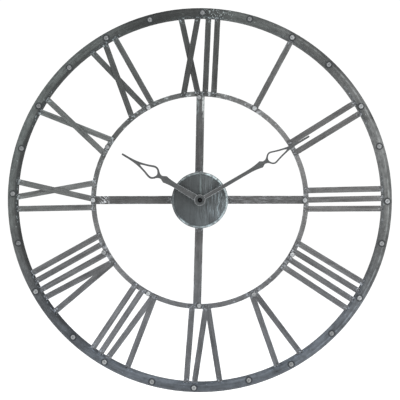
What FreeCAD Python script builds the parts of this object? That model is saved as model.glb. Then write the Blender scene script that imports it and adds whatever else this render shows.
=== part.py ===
import FreeCAD, Part
import math
import os

import Sketcher

# Skeleton wall clock: a welded steel frame (two rings, four spokes, Roman
# numerals cut from flat bar), a pressed hub cup that hides a quartz movement,
# and two pierced hands on the movement's concentric pipes.
#
# Frame: +Z up, the clock faces -Y, the wall is the plane y = 0.  The origin is
# the centre of the hanger hole behind the top of the outer ring, so the dial
# centre lies at (0, 0, -ring_mid).  "depth" below means distance in front of
# the wall, that is -y.

V = FreeCAD.Vector
doc = FreeCAD.newDocument("WallClock")

# ---------------------------------------------------------------- dimensions
sheet = doc.addObject("Spreadsheet::Sheet", "Dims")
DIMS = [
    # welded frame
    ("ring_mid", 340.0), ("ring_tube", 10.0), ("ring_skin", 1.2),
    ("inner_ring_in", 188.8), ("inner_ring_out", 198.0),
    ("flat_stock", 2.0), ("bar_width", 10.6), ("spoke_width", 14.8),
    ("spoke_depth", 1.0), ("inner_ring_depth", 3.0), ("numeral_depth", 5.0),
    ("spoke_end", 196.5), ("weld_gap", 0.05),
    # studs
    ("stud_radius", 4.6), ("stud_dome", 2.8), ("stud_skirt", 0.9),
    ("stud_seat", 8.7), ("stud_shank", 1.5), ("stud_lean_arm", 10.2),
    # hub cup
    ("hub_radius", 51.0), ("hub_face", 24.8), ("hub_skin", 1.2),
    ("hub_bead", 26.2), ("hub_hole", 4.15),
    # hanger
    ("hanger_hole", 4.0), ("hanger_thick", 1.5), ("hanger_width", 46.0),
    # quartz movement
    ("case_side", 56.0), ("case_wall", 1.6), ("case_front", 23.0),
    ("case_back", 9.2), ("cover_thick", 1.6), ("stem_radius", 4.0),
    ("stem_end", 29.0), ("stem_bore", 2.68), ("gasket_thick", 0.6),
    ("plate_depth", 16.4), ("plate_thick", 0.6),
    ("battery_radius", 7.1), ("battery_length", 50.0), ("battery_drop", 19.1),
    ("battery_depth", 14.3),
    # hands and arbors
    ("hour_pipe_out", 2.6), ("hour_pipe_in", 1.83), ("minute_shaft", 1.75),
    ("hand_thick", 1.2), ("hour_hand_depth", 31.4), ("minute_hand_depth", 35.0),
    ("boss_radius", 10.0), ("boss_thick", 1.6),
    ("hour_hand_angle", 300.7), ("minute_hand_angle", 59.7),
    # gearing: module and wheel thickness
    ("motion_module", 0.5), ("train_module", 0.26), ("fourth_module", 0.25),
    ("rotor_module", 0.2), ("wheel_thick", 1.2), ("train_thick", 0.8),
]
D = {}
for row, (alias, value) in enumerate(DIMS, start=1):
    sheet.set("A%d" % row, alias)
    sheet.set("B%d" % row, "%g" % value)
    sheet.setAlias("B%d" % row, alias)
    D[alias] = value
doc.recompute()

NODES = {}


def bind(obj, prop, expr):
    obj.setExpression(prop, expr)


def place(obj, label, angle=0.0):
    """Give a finished sub-part its name and drop it to the dial centre."""
    obj.Label = label
    obj.Placement = FreeCAD.Placement(V(0, 0, -D["ring_mid"]),
                                      FreeCAD.Rotation(V(0, 1, 0), angle))
    bind(obj, "Placement.Base.z", "-Dims.ring_mid")
    NODES[label] = obj
    return obj


# ------------------------------------------------------------- sketch helpers
def plane_of(body, role):
    return [f for f in body.Origin.OriginFeatures if f.Role == role][0]


def new_body(name):
    return doc.addObject("PartDesign::Body", name)


def new_sketch(body, name, role, offset=None):
    sk = body.newObject("Sketcher::SketchObject", name)
    sk.AttachmentSupport = [(plane_of(body, role), "")]
    sk.MapMode = "FlatFace"
    if offset:
        # distance of the sketch in front of its origin plane
        bind(sk, "AttachmentOffset.Base.z", offset)
    return sk


def circle(sk, cx, cy, r, expr=None):
    g = sk.addGeometry(Part.Circle(V(cx, cy, 0), V(0, 0, 1), r), False)
    if cx == 0 and cy == 0:
        sk.addConstraint(Sketcher.Constraint("Coincident", g, 3, -1, 1))
    else:
        sk.addConstraint(Sketcher.Constraint("DistanceX", -1, 1, g, 3, cx))
        sk.addConstraint(Sketcher.Constraint("DistanceY", -1, 1, g, 3, cy))
    c = sk.addConstraint(Sketcher.Constraint("Radius", g, r))
    if expr:
        sk.setExpression("Constraints[%d]" % c, expr)
    return g


def loop(sk, pts):
    """Closed outline of straight edges.  A point is (x, y) or has an
    expression for either coordinate: ((x, "expr"), (y, "expr"))."""
    flat = []
    for p in pts:
        x, ex = p[0] if isinstance(p[0], tuple) else (p[0], None)
        y, ey = p[1] if isinstance(p[1], tuple) else (p[1], None)
        flat.append((x, ex, y, ey))
    n = len(flat)
    ids = []
    for i in range(n):
        a, b = flat[i], flat[(i + 1) % n]
        ids.append(sk.addGeometry(
            Part.LineSegment(V(a[0], a[2], 0), V(b[0], b[2], 0)), False))
    for i in range(n):
        sk.addConstraint(Sketcher.Constraint(
            "Coincident", ids[i], 2, ids[(i + 1) % n], 1))
    for i in range(n):
        x, ex, y, ey = flat[i]
        for axis, val, ex_ in (("DistanceX", x, ex), ("DistanceY", y, ey)):
            if abs(val) < 1e-9:
                kind = -2 if axis == "DistanceX" else -1
                sk.addConstraint(Sketcher.Constraint(
                    "PointOnObject", ids[i], 1, kind))
                continue
            c = sk.addConstraint(Sketcher.Constraint(axis, -1, 1, ids[i], 1, val))
            if ex_:
                sk.setExpression("Constraints[%d]" % c, ex_)
    return ids


def box_loop(sk, x0, x1, y0, y1):
    return loop(sk, [(x0, y0), (x1, y0), (x1, y1), (x0, y1)])


def pad(body, sk, length, name):
    """Extrude towards the viewer (-Y for a sketch on the XZ plane)."""
    p = body.newObject("PartDesign::Pad", name)
    p.Profile = sk
    bind(p, "Length", length)
    body.Tip = p
    return p


def pocket(body, sk, length, name, reversed_=True):
    p = body.newObject("PartDesign::Pocket", name)
    p.Profile = sk
    bind(p, "Length", length)
    p.Reversed = reversed_
    body.Tip = p
    return p


def revolve(body, sk, name):
    """Turn a half section about the clock's Y axis."""
    r = body.newObject("PartDesign::Revolution", name)
    r.Profile = sk
    r.ReferenceAxis = (sk, ["V_Axis"])
    r.Angle = 360.0
    body.Tip = r
    return r


def disc(label, depth, thick, radius, bore=None, cx=0.0, cy=0.0):
    """A flat washer-like body, all four sizes as expressions with values."""
    b = new_body(label + "_body")
    sk = new_sketch(b, label + "_outline", "XZ_Plane", depth)
    circle(sk, cx, cy, *radius)
    if bore:
        circle(sk, cx, cy, *bore)
    pad(b, sk, thick, label + "_pad")
    return place(b, label)


def dims(*names):
    return sum(D[n] for n in names)


# ------------------------------------------------------------- box utilities
def prim_box(name, x0, x1, d0, d1, z0, z1):
    """Block between x, depth and z limits, in dial coordinates."""
    b = doc.addObject("Part::Box", name)
    b.Length, b.Width, b.Height = x1 - x0, d1 - d0, z1 - z0
    b.Placement = FreeCAD.Placement(V(x0, -d1, z0), FreeCAD.Rotation())
    return b


def prim_rod(name, cx, cz, r, d0, d1):
    """Cylinder along Y between two depths."""
    c = doc.addObject("Part::Cylinder", name)
    c.Radius, c.Height = r, d1 - d0
    c.Placement = FreeCAD.Placement(V(cx, -d0, cz),
                                    FreeCAD.Rotation(V(1, 0, 0), 90))
    return c


def cut(name, base, tool):
    o = doc.addObject("Part::Cut", name)
    o.Base, o.Tool = base, tool
    return o


def fuse(name, parts):
    o = doc.addObject("Part::MultiFuse", name)
    o.Shapes = parts
    return o


def group(name, parts):
    o = doc.addObject("Part::Compound", name)
    o.Links = parts
    return o


def torus(name, tube_expr, gap):
    t = doc.addObject("Part::Torus", name)
    t.Radius1, t.Radius2 = D["ring_mid"], D["ring_tube"] + gap
    bind(t, "Radius1", "Dims.ring_mid")
    bind(t, "Radius2", tube_expr)
    t.Placement = FreeCAD.Placement(V(0, 0, 0), FreeCAD.Rotation(V(1, 0, 0), 90))
    return t


# ================================================================ outer ring
# A half-round channel rolled from sheet: open at the back, hollow inside.
R0, RT, SK = D["ring_mid"], D["ring_tube"], D["ring_skin"]
b = new_body("outer_ring_body")
sk = new_sketch(b, "outer_ring_section", "XY_Plane")
ro = sk.addGeometry(Part.ArcOfCircle(Part.Circle(V(R0, 0, 0), V(0, 0, 1), RT),
                                     math.pi, 2 * math.pi), False)
ri = sk.addGeometry(Part.ArcOfCircle(Part.Circle(V(R0, 0, 0), V(0, 0, 1), RT - SK),
                                     math.pi, 2 * math.pi), False)
l1 = sk.addGeometry(Part.LineSegment(V(R0 - RT, 0, 0), V(R0 - RT + SK, 0, 0)), False)
l2 = sk.addGeometry(Part.LineSegment(V(R0 + RT - SK, 0, 0), V(R0 + RT, 0, 0)), False)
for con in (("Coincident", ro, 1, l1, 1), ("Coincident", l1, 2, ri, 1),
            ("Coincident", ri, 2, l2, 1), ("Coincident", l2, 2, ro, 2),
            ("Coincident", ro, 3, ri, 3), ("PointOnObject", ro, 3, -1),
            ("PointOnObject", ro, 1, -1), ("PointOnObject", ro, 2, -1),
            ("PointOnObject", ri, 1, -1), ("PointOnObject", ri, 2, -1)):
    sk.addConstraint(Sketcher.Constraint(*con))
c = sk.addConstraint(Sketcher.Constraint("Radius", ro, RT))
sk.setExpression("Constraints[%d]" % c, "Dims.ring_tube")
c = sk.addConstraint(Sketcher.Constraint("Radius", ri, RT - SK))
sk.setExpression("Constraints[%d]" % c, "Dims.ring_tube - Dims.ring_skin")
c = sk.addConstraint(Sketcher.Constraint("DistanceX", -1, 1, ro, 3, R0))
sk.setExpression("Constraints[%d]" % c, "Dims.ring_mid")
revolve(b, sk, "outer_ring_roll")
ring_blank = b

# Twenty-four rivets round the crest, set out by hand and so slightly uneven:
# (degrees clockwise from 12, radius at which the head shows). Each one is
# square to the half-round wall, so a rivet off the crest leans with it.
OUTER_STUDS = [(0.8, 340.7), (15.4, 341.4), (29.6, 339.8), (43.6, 339.9),
               (59.8, 338.7), (73.3, 340.6), (90.35, 340.8), (103.4, 339.7),
               (121.5, 340.2), (135.3, 340.6), (150.9, 341.2), (164.8, 338.7),
               (181.8, 341.3), (194.8, 341.4), (210.5, 341.5), (222.8, 339.0),
               (240.9, 341.5), (256.7, 338.5), (272.0, 339.9), (286.2, 337.1),
               (300.3, 339.1), (315.4, 337.8), (330.0, 340.2), (344.5, 340.0)]


def rivet_seat_at(a, r):
    """Placement of something built on the crest at 12 o'clock."""
    lean = math.degrees(math.asin((r - R0) / D["stud_lean_arm"]))
    return FreeCAD.Placement(V(0, 0, 0), FreeCAD.Rotation(V(0, 1, 0), a)).multiply(
        FreeCAD.Placement(V(0, 0, 0), FreeCAD.Rotation(V(1, 0, 0), -lean), V(0, 0, R0)))


rod = prim_rod("rivet_hole_rod", 0, R0, D["stud_shank"] + 0.03, 7.0, 12.0)
bind(rod, "Radius", "Dims.stud_shank + 0.03")
hole_rods = []
for i, (a, r) in enumerate(OUTER_STUDS):
    ln = doc.addObject("App::Link", "rivet_hole_%02d" % (i + 1))
    ln.LinkedObject = rod
    ln.LinkTransform = True
    ln.Placement = rivet_seat_at(a, r)
    hole_rods.append(ln)
place(cut("outer_ring_pierced", ring_blank, group("rivet_holes", hole_rods)),
      "outer_ring")

# Rivet: domed head shaped to the ring's crest, shank through its wall.
b = new_body("rivet_head_body")
sk = new_sketch(b, "rivet_head_section", "XY_Plane")
sr, sd = D["stud_radius"], D["stud_dome"]
seat, skirt = D["stud_seat"], D["stud_skirt"]
sph = (sr * sr + sd * sd) / (2 * sd)
top = seat + skirt + sd
half = math.asin(sr / sph)
p = [V(0, -seat, 0), V(sr, -seat, 0), V(sr, -(seat + skirt), 0), V(0, -top, 0)]
sk.addGeometry(Part.LineSegment(p[0], p[1]), False)
sk.addGeometry(Part.LineSegment(p[1], p[2]), False)
sk.addGeometry(Part.Arc(p[2], V(sph * math.sin(half / 2),
                                -(top - sph + sph * math.cos(half / 2)), 0), p[3]), False)
sk.addGeometry(Part.LineSegment(p[3], p[0]), False)
for con in (("Coincident", 0, 2, 1, 1), ("Coincident", 1, 2, 2, 2),
            ("Coincident", 2, 1, 3, 1), ("Coincident", 3, 2, 0, 1)):
    try:
        sk.addConstraint(Sketcher.Constraint(*con))
    except Exception:
        pass
revolve(b, sk, "rivet_head_turn")
rivet_head = doc.addObject("App::Link", "rivet_head_at_circle")
rivet_head.LinkedObject = b
rivet_head.Placement = FreeCAD.Placement(V(0, 0, R0), FreeCAD.Rotation())
seat_torus = torus("rivet_seat", "Dims.ring_tube + 0.03", 0.03)
head = cut("rivet_head_seated", rivet_head, seat_torus)
shank = prim_rod("rivet_shank", 0, R0, D["stud_shank"], 7.8, 11.0)
bind(shank, "Radius", "Dims.stud_shank")
rivet = fuse("rivet", [head, shank])
links = []
for i, (a, r) in enumerate(OUTER_STUDS):
    ln = doc.addObject("App::Link", "rivet_%02d" % (i + 1))
    ln.LinkedObject = rivet
    ln.Placement = rivet_seat_at(a, r)
    links.append(ln)
place(group("rivets", links), "outer_ring_studs")

# ================================================================ inner ring
b = new_body("inner_ring_body")
sk = new_sketch(b, "inner_ring_outline", "XZ_Plane", "Dims.inner_ring_depth")
circle(sk, 0, 0, D["inner_ring_out"], "Dims.inner_ring_out")
circle(sk, 0, 0, D["inner_ring_in"], "Dims.inner_ring_in")
pad(b, sk, "Dims.flat_stock", "inner_ring_pad")
place(b, "inner_ring")


# ================================================================ flat bars
def bar(name, p0, p1, width, width_expr, depth_expr_name, ext0=0.0, ext1=0.0):
    """Straight flat bar between two dial points, standing on a depth."""
    dx, dz = p1[0] - p0[0], p1[1] - p0[1]
    ln = math.hypot(dx, dz)
    dx, dz = dx / ln, dz / ln
    o = doc.addObject("Part::Box", name)
    o.Length = ln + ext0 + ext1
    bind(o, "Width", "Dims.flat_stock")
    bind(o, "Height", width_expr)
    rot = FreeCAD.Rotation(V(0, 1, 0), math.degrees(math.atan2(-dz, dx)))
    start = V(p0[0] - dx * ext0, 0, p0[1] - dz * ext0)
    off = rot.multVec(V(0, -(D[depth_expr_name] + D["flat_stock"]), -width / 2))
    o.Placement = FreeCAD.Placement(start + off, rot)
    return o


hub_plug = prim_rod("hub_envelope", 0, 0, D["hub_radius"] + D["weld_gap"], -1, 30)
bind(hub_plug, "Radius", "Dims.hub_radius + Dims.weld_gap")
SE = D["spoke_end"]
SPOKES = [
    ("spoke_top", (-1.35, 45.0), (1.5, SE)),
    ("spoke_right", (45.0, 0.6), (SE, 0.6)),
    ("spoke_bottom", (-1.2, -45.0), (-5.2, -SE)),
    ("spoke_left", (-45.0, 0.5), (-SE, 0.0)),
]
for label, p0, p1 in SPOKES:
    blank = bar(label + "_blank", p0, p1, D["spoke_width"], "Dims.spoke_width",
                "spoke_depth")
    place(cut(label + "_cut", blank, hub_plug), label)

# ================================================================ numerals
# Every stroke is a length of flat bar: (inner end, outer end) on the dial,
# given where its centre line meets radius 193.5 and radius 334.
BARS = {
    "1": [("i1", (99.4, 166.0), (166.0, 289.8))],
    "2": [("i1", (163.4, 103.5), (282.7, 177.8)),
          ("i2", (173.2, 86.1), (293.5, 159.5))],
    "3": [("i1", (192.7, 17.6), (333.3, 20.8)),
          ("i2", (193.5, 0.4), (334.0, 3.4)),
          ("i3", (192.8, -15.9), (333.7, -15.1))],
    "4": [("i1", (177.3, -77.4), (298.0, -150.8)),
          ("i2", (170.0, -92.3), (289.8, -166.0)),
          ("i3", (161.5, -106.6), (279.7, -182.5)),
          ("i4", (151.3, -120.6), (268.9, -198.1))],
    "5": [("va", (98.3, -166.7), (183.5, -279.0)),
          ("vb", (93.8, -169.2), (140.6, -302.9))],
    "6": [("va", (14.3, -192.9), (36.5, -332.0)),
          ("vb", (11.4, -193.1), (-10.0, -333.8)),
          ("i1", (-14.0, -193.0), (-24.7, -333.1))],
    "7": [("va", (-82.2, -175.1), (-132.4, -306.6)),
          ("vb", (-84.2, -174.2), (-168.3, -288.5)),
          ("i1", (-103.8, -163.2), (-181.8, -280.2)),
          ("i2", (-117.3, -153.8), (-195.4, -270.8))],
    "8": [("va", (-157.3, -112.7), (-264.7, -203.7)),
          ("vb", (-157.8, -111.9), (-282.7, -177.9)),
          ("i1", (-168.0, -96.0), (-290.9, -164.1)),
          ("i2", (-176.5, -79.2), (-299.4, -148.0)),
          ("i3", (-182.5, -64.3), (-306.2, -133.3))],
    "9": [("i1", (-193.0, -13.1), (-333.6, -15.9)),
          ("xa", (-193.5, 2.0), (-332.3, 33.8)),
          ("xb", (-190.9, 31.4), (-333.9, 5.6))],
    "10": [("xa", (-173.8, 84.9), (-278.6, 184.2)),
           ("xb", (-159.7, 109.2), (-292.3, 161.6))],
    "11": [("xa", (-123.0, 149.3), (-172.7, 285.9)),
           ("xb", (-97.6, 167.0), (-196.6, 270.0)),
           ("i1", (-85.9, 173.4), (-155.1, 295.8))],
    "12": [("xa", (-3.4, 193.4), (-34.3, 332.2)),
           ("xb", (-29.6, 191.2), (-3.1, 334.0)),
           ("i1", (9.7, 193.2), (15.8, 333.6)),
           ("i2", (25.3, 191.8), (32.4, 332.4))],
}
# the stroke of each X that is set over its fellow
OVER = {"12": ("xb", "xa"), "11": ("xa", "xb"), "10": ("xa", "xb"),
        "9": ("xa", "xb")}
BW = D["bar_width"]
INNER_EXT, OUTER_EXT = 3.0, 5.0


def crossing(a0, a1, b0, b1):
    """Distance of the crossing point along stroke a, and the angle."""
    ax, az = a1[0] - a0[0], a1[1] - a0[1]
    bx, bz = b1[0] - b0[0], b1[1] - b0[1]
    la, lb = math.hypot(ax, az), math.hypot(bx, bz)
    ax, az, bx, bz = ax / la, az / la, bx / lb, bz / lb
    det = ax * bz - az * bx
    qx, qz = b0[0] - a0[0], b0[1] - a0[1]
    return (qx * bz - qz * bx) / det, abs(math.asin(det))


def joggled(name, p0, p1, at, angle, ext0, ext1):
    """Flat bar pressed up by its own thickness over the stroke it crosses."""
    ln = math.hypot(p1[0] - p0[0], p1[1] - p0[1])
    dx, dz = (p1[0] - p0[0]) / ln, (p1[1] - p0[1]) / ln
    t = D["flat_stock"]
    lift = t + 0.04
    flat = BW / 2 * (1 + math.cos(angle)) / math.sin(angle) + 2.0
    ramp = 12.0
    lo = D["numeral_depth"]
    s0, s1 = at - flat - ramp, at - flat
    s2, s3 = at + flat, at + flat + ramp
    prof = [(-ext0, lo), (s0, lo), (s1, lo + lift), (s2, lo + lift), (s3, lo),
            (ln + ext1, lo), (ln + ext1, lo + t), (s3, lo + t),
            (s2, lo + lift + t), (s1, lo + lift + t), (s0, lo + t), (-ext0, lo + t)]
    body = new_body(name + "_body")
    s = new_sketch(body, name + "_profile", "XY_Plane")
    loop(s, [(x, -y) for x, y in prof])
    pd = body.newObject("PartDesign::Pad", name + "_pad")
    pd.Profile = s
    bind(pd, "Length", "Dims.bar_width")
    pd.Midplane = True
    body.Tip = pd
    rot = FreeCAD.Rotation(V(0, 1, 0), math.degrees(math.atan2(-dz, dx)))
    body.Placement = FreeCAD.Placement(V(p0[0], 0, p0[1]), rot)
    return body


def half_space(name, apex, direction, side):
    """Large block on one side of a mitre line through the apex."""
    L = 260.0
    o = doc.addObject("Part::Box", name)
    o.Length, o.Width, o.Height = 2 * L, 20.0, L
    rot = FreeCAD.Rotation(V(0, 1, 0),
                           math.degrees(math.atan2(-direction[1], direction[0])))
    gap = D["weld_gap"] / 2
    off = rot.multVec(V(-L, -15.0, gap if side > 0 else -L - gap))
    o.Placement = FreeCAD.Placement(V(apex[0], 0, apex[1]) + off, rot)
    return o


ring_env = torus("ring_envelope", "Dims.ring_tube + Dims.weld_gap", D["weld_gap"])
for num, strokes in BARS.items():
    label = "numeral_" + num
    byname = {s[0]: s for s in strokes}
    solids = []
    for tag, p0, p1 in strokes:
        nm = "n%s_%s" % (num, tag)
        e0 = 1.6 if (num, tag) == ("12", "xa") else INNER_EXT
        if num in OVER and OVER[num][0] == tag:
            other = byname[OVER[num][1]]
            at, ang = crossing(p0, p1, other[1], other[2])
            solids.append(joggled(nm, p0, p1, at, ang, e0, OUTER_EXT))
            continue
        if tag in ("va", "vb"):
            # the strokes of a V run back past their meeting point and are
            # mitred on the bisector
            other = byname["vb" if tag == "va" else "va"]
            dA = (p1[0] - p0[0], p1[1] - p0[1])
            dB = (other[2][0] - other[1][0], other[2][1] - other[1][1])
            nA, nB = math.hypot(*dA), math.hypot(*dB)
            bis = (dA[0] / nA + dB[0] / nB, dA[1] / nA + dB[1] / nB)
            at, ang = crossing(p0, p1, other[1], other[2])
            apex = (p0[0] + dA[0] / nA * at, p0[1] + dA[1] / nA * at)
            blank = bar(nm + "_blank", p0, p1, BW, "Dims.bar_width",
                        "numeral_depth", INNER_EXT, OUTER_EXT)
            # local +z of a block laid along the bisector is (-bis_z, bis_x)
            # turned into the dial plane
            nrm = (-bis[1], bis[0])
            own = dA[0] * nrm[0] + dA[1] * nrm[1]
            block = half_space(nm + "_mitre", apex, bis, -1 if own > 0 else 1)
            solids.append(cut(nm + "_bar", blank, block))
            continue
        solids.append(bar(nm + "_bar", p0, p1, BW, "Dims.bar_width",
                          "numeral_depth", e0, OUTER_EXT))
    base = group(label + "_bars", solids) if len(solids) > 1 else solids[0]
    place(cut(label + "_trim", base, ring_env), label)

# ------------------------------------------------------- studs of the dial
b = new_body("stud_body")
sk = new_sketch(b, "stud_section", "XY_Plane")
p = [V(0, 0, 0), V(sr, 0, 0), V(0, -sd, 0)]
sk.addGeometry(Part.LineSegment(p[0], p[1]), False)
sk.addGeometry(Part.Arc(p[1], V(sph * math.sin(half / 2),
                                -(sd - sph + sph * math.cos(half / 2)), 0), p[2]), False)
sk.addGeometry(Part.LineSegment(p[2], p[0]), False)
revolve(b, sk, "stud_turn")
INNER_STUDS = [
    ("12", -1.3, 187.2, 5.0), ("1", 99.4, 167.0, 7.0), ("2", 168.6, 95.0, 5.0),
    ("3", 191.4, -0.2, 7.0), ("4", 168.3, -98.9, 7.0), ("5", 98.5, -171.5, 7.0),
    ("6", -1.3, -192.0, 5.0), ("7", -93.85, -170.1, 5.0),
    ("8", -174.4, -95.1, 7.0), ("9", -194.4, -0.1, 7.0),
    ("10", -168.3, 96.7, 5.0), ("11", -93.4, 168.4, 7.0)]
links = []
for name, x, z, dd in INNER_STUDS:
    ln = doc.addObject("App::Link", "stud_at_" + name)
    ln.LinkedObject = b
    ln.Placement = FreeCAD.Placement(V(x, -dd, z), FreeCAD.Rotation())
    links.append(ln)
# the 12 o'clock stud overhangs the ring and is riveted down to the top spoke
peg = prim_rod("stud_at_12_shank", -1.3, 187.2, 1.5, 3.0, 5.0)
links[0] = fuse("stud_at_12_long", [links[0], peg])
place(group("dial_studs", links), "inner_ring_studs")

# ================================================================== hub cup
# Pressed steel cup, open at the back, with a rounded raised rim.
b = new_body("hub_cup_body")
sk = new_sketch(b, "hub_cup_section", "XY_Plane")
HR, HF, HS, HB, HH = (D["hub_radius"], D["hub_face"], D["hub_skin"],
                      D["hub_bead"], D["hub_hole"])
ids = loop(sk, [
    ((HR - HS, "Dims.hub_radius - Dims.hub_skin"), 0),
    ((HR, "Dims.hub_radius"), 0),
    ((HR, "Dims.hub_radius"), (-HB, "-Dims.hub_bead")),
    ((HR - 3.4, "Dims.hub_radius - 3.4"), (-HB, "-Dims.hub_bead")),
    ((HR - 4.6, "Dims.hub_radius - 4.6"), (-HF, "-Dims.hub_face")),
    ((HH, "Dims.hub_hole"), (-HF, "-Dims.hub_face")),
    ((HH, "Dims.hub_hole"), (-(HF - HS), "Dims.hub_skin - Dims.hub_face")),
    ((HR - 4.3, "Dims.hub_radius - 4.3"), (-(HF - HS), "Dims.hub_skin - Dims.hub_face")),
    ((HR - 3.1, "Dims.hub_radius - 3.1"), (-(HB - HS), "Dims.hub_skin - Dims.hub_bead")),
    ((HR - HS, "Dims.hub_radius - Dims.hub_skin"), (-(HB - HS), "Dims.hub_skin - Dims.hub_bead")),
])
revolve(b, sk, "hub_cup_turn")
doc.recompute()


def rim_edges(feature_, radius, depth):
    """Names of the circular edges of that radius at that depth."""
    out = []
    for i, e in enumerate(feature_.Shape.Edges):
        if (isinstance(e.Curve, Part.Circle) and abs(e.Curve.Radius - radius) < 0.05
                and abs(e.Curve.Center.y + depth) < 0.05):
            out.append("Edge%d" % (i + 1))
    return out


def round_rim(body, base, name, radius, depth, fillet_r):
    f = body.newObject("PartDesign::Fillet", name)
    f.Base = (base, rim_edges(base, radius, depth))
    f.Radius = fillet_r
    body.Tip = f
    doc.recompute()
    return f


f1 = round_rim(b, b.Tip, "hub_rim_round", HR, HB, 2.4)
f2 = round_rim(b, f1, "hub_rim_inside", HR - HS, HB - HS, 1.2)
f3 = round_rim(b, f2, "hub_bead_round", HR - 3.4, HB, 0.8)
place(b, "hub_cup")

# ============================================================== wall hanger
# Steel plate welded across the open back of the ring at 12, with the hole
# that drops over a wall screw.
b = new_body("hanger_body")
sk = new_sketch(b, "hanger_outline", "XZ_Plane")
hw = D["hanger_width"] / 2
ra, rb_ = R0 - RT + SK + 0.25, R0 + RT - SK - 0.25
ta = math.asin(hw / ra)
tb = math.asin(hw / rb_)
arc_in = Part.ArcOfCircle(Part.Circle(V(0, 0, 0), V(0, 0, 1), ra),
                          math.pi / 2 - ta, math.pi / 2 + ta)
arc_out = Part.ArcOfCircle(Part.Circle(V(0, 0, 0), V(0, 0, 1), rb_),
                           math.pi / 2 - tb, math.pi / 2 + tb)
sk.addGeometry(arc_in, False)
sk.addGeometry(arc_out, False)
sk.addGeometry(Part.LineSegment(arc_in.StartPoint, arc_out.StartPoint), False)
sk.addGeometry(Part.LineSegment(arc_in.EndPoint, arc_out.EndPoint), False)
circle(sk, 0, R0, D["hanger_hole"], "Dims.hanger_hole")
pad(b, sk, "Dims.hanger_thick", "hanger_pad")
place(b, "wall_hanger")

# ====================================================== movement: enclosure
CS, CW = D["case_side"] / 2, D["case_wall"]
CI = CS - CW
CF, CB = D["case_front"], D["case_back"]
BD = D["battery_drop"]
b = new_body("case_body")
sk = new_sketch(b, "case_outline", "XZ_Plane", "Dims.case_back")
box_loop(sk, -CS, CS, -CS, CS)
pad(b, sk, "Dims.case_front - Dims.case_back", "case_block")
sk = new_sketch(b, "case_stem_outline", "XZ_Plane", "Dims.case_front")
circle(sk, 0, 0, D["stem_radius"], "Dims.stem_radius")
pad(b, sk, "Dims.stem_end - Dims.case_front", "case_stem")
sk = new_sketch(b, "case_train_bay", "XZ_Plane", "Dims.case_back")
box_loop(sk, -CI, CI, -10.9, CI)
pocket(b, sk, "Dims.case_front - Dims.case_back - 1.2", "case_train_pocket")
sk = new_sketch(b, "case_battery_bay", "XZ_Plane", "Dims.case_back")
box_loop(sk, -CI, CI, -CI, -11.7)
pocket(b, sk, "Dims.case_front - Dims.case_back - 1.2", "case_battery_pocket")
sk = new_sketch(b, "case_stem_bore", "XZ_Plane", "Dims.case_back")
circle(sk, 0, 0, D["stem_bore"], "Dims.stem_bore")
pocket(b, sk, "Dims.stem_end - Dims.case_back + 1", "case_stem_hole")
case_bodyobj = b
place(b, "movement_case")

# ------------------------------------------------------------- arbor centres
def polar(origin, dist, deg):
    t = math.radians(deg)
    return (origin[0] + dist * math.cos(t), origin[1] + dist * math.sin(t))


MM, MT, MF, MR = (D["motion_module"], D["train_module"], D["fourth_module"],
                  D["rotor_module"])
A_MOTION, A_THIRD, A_FOURTH, A_INTER, A_ROTOR = 150.0, 45.0, 100.0, 180.0, 195.0
C0 = (0.0, 0.0)
C_MOTION = polar(C0, MM * (10 + 30) / 2, A_MOTION)
C_THIRD = polar(C0, MT * (64 + 8) / 2, A_THIRD)
C_FOURTH = polar(C_THIRD, MT * (60 + 8) / 2, A_FOURTH)
C_INTER = polar(C_FOURTH, MF * (40 + 8) / 2, A_INTER)
C_ROTOR = polar(C_INTER, MR * (48 + 8) / 2, A_ROTOR)
TRAIN = [C_THIRD, C_FOURTH, C_INTER, C_ROTOR]
PIVOT, PIVOT_HOLE = 0.35, 0.42

# Rear cover: closes the train, leaves the battery bay open.
b = new_body("cover_body")
sk = new_sketch(b, "cover_outline", "XZ_Plane", "Dims.case_back - Dims.cover_thick")
box_loop(sk, -CS, CS, -CS, CS)
box_loop(sk, -CI, CI, -CI, -11.7)
circle(sk, C_MOTION[0], C_MOTION[1], 1.0)
pad(b, sk, "Dims.cover_thick", "cover_plate")
sk = new_sketch(b, "cover_pivots", "XZ_Plane", "Dims.case_back - 0.8")
for cpt in TRAIN:
    circle(sk, cpt[0], cpt[1], PIVOT_HOLE)
circle(sk, 0, 0, 1.07)
pocket(b, sk, "0.8", "cover_pivot_holes")
place(b, "movement_rear_cover")

# Train plate: carries the front pivots inside the case.
b = new_body("train_plate_body")
sk = new_sketch(b, "train_plate_outline", "XZ_Plane", "Dims.plate_depth")
box_loop(sk, -CI + 0.1, CI - 0.1, -10.8, CI - 0.1)
circle(sk, 0, 0, 1.6)
circle(sk, C_MOTION[0], C_MOTION[1], 1.0)
for cpt in TRAIN:
    circle(sk, cpt[0], cpt[1], PIVOT_HOLE)
pad(b, sk, "Dims.plate_thick", "train_plate_pad")
place(b, "train_plate")

# Rubber gasket behind the hub face, brass washer and nut in front of it.
disc("gasket", "Dims.case_front", "Dims.hub_face - Dims.hub_skin - Dims.case_front",
     (9.0,), (4.1,))
disc("stem_washer", "Dims.hub_face", "0.8", (8.0,), (4.1,))
b = new_body("stem_nut_body")
sk = new_sketch(b, "stem_nut_outline", "XZ_Plane", "Dims.hub_face + 0.8")
loop(sk, [(6.6 * math.cos(math.radians(30 + 60 * k)),
           6.6 * math.sin(math.radians(30 + 60 * k))) for k in range(6)])
circle(sk, 0, 0, D["stem_radius"] + 0.02, "Dims.stem_radius + 0.02")
pad(b, sk, "2.4", "stem_nut_pad")
place(b, "stem_nut")

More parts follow.
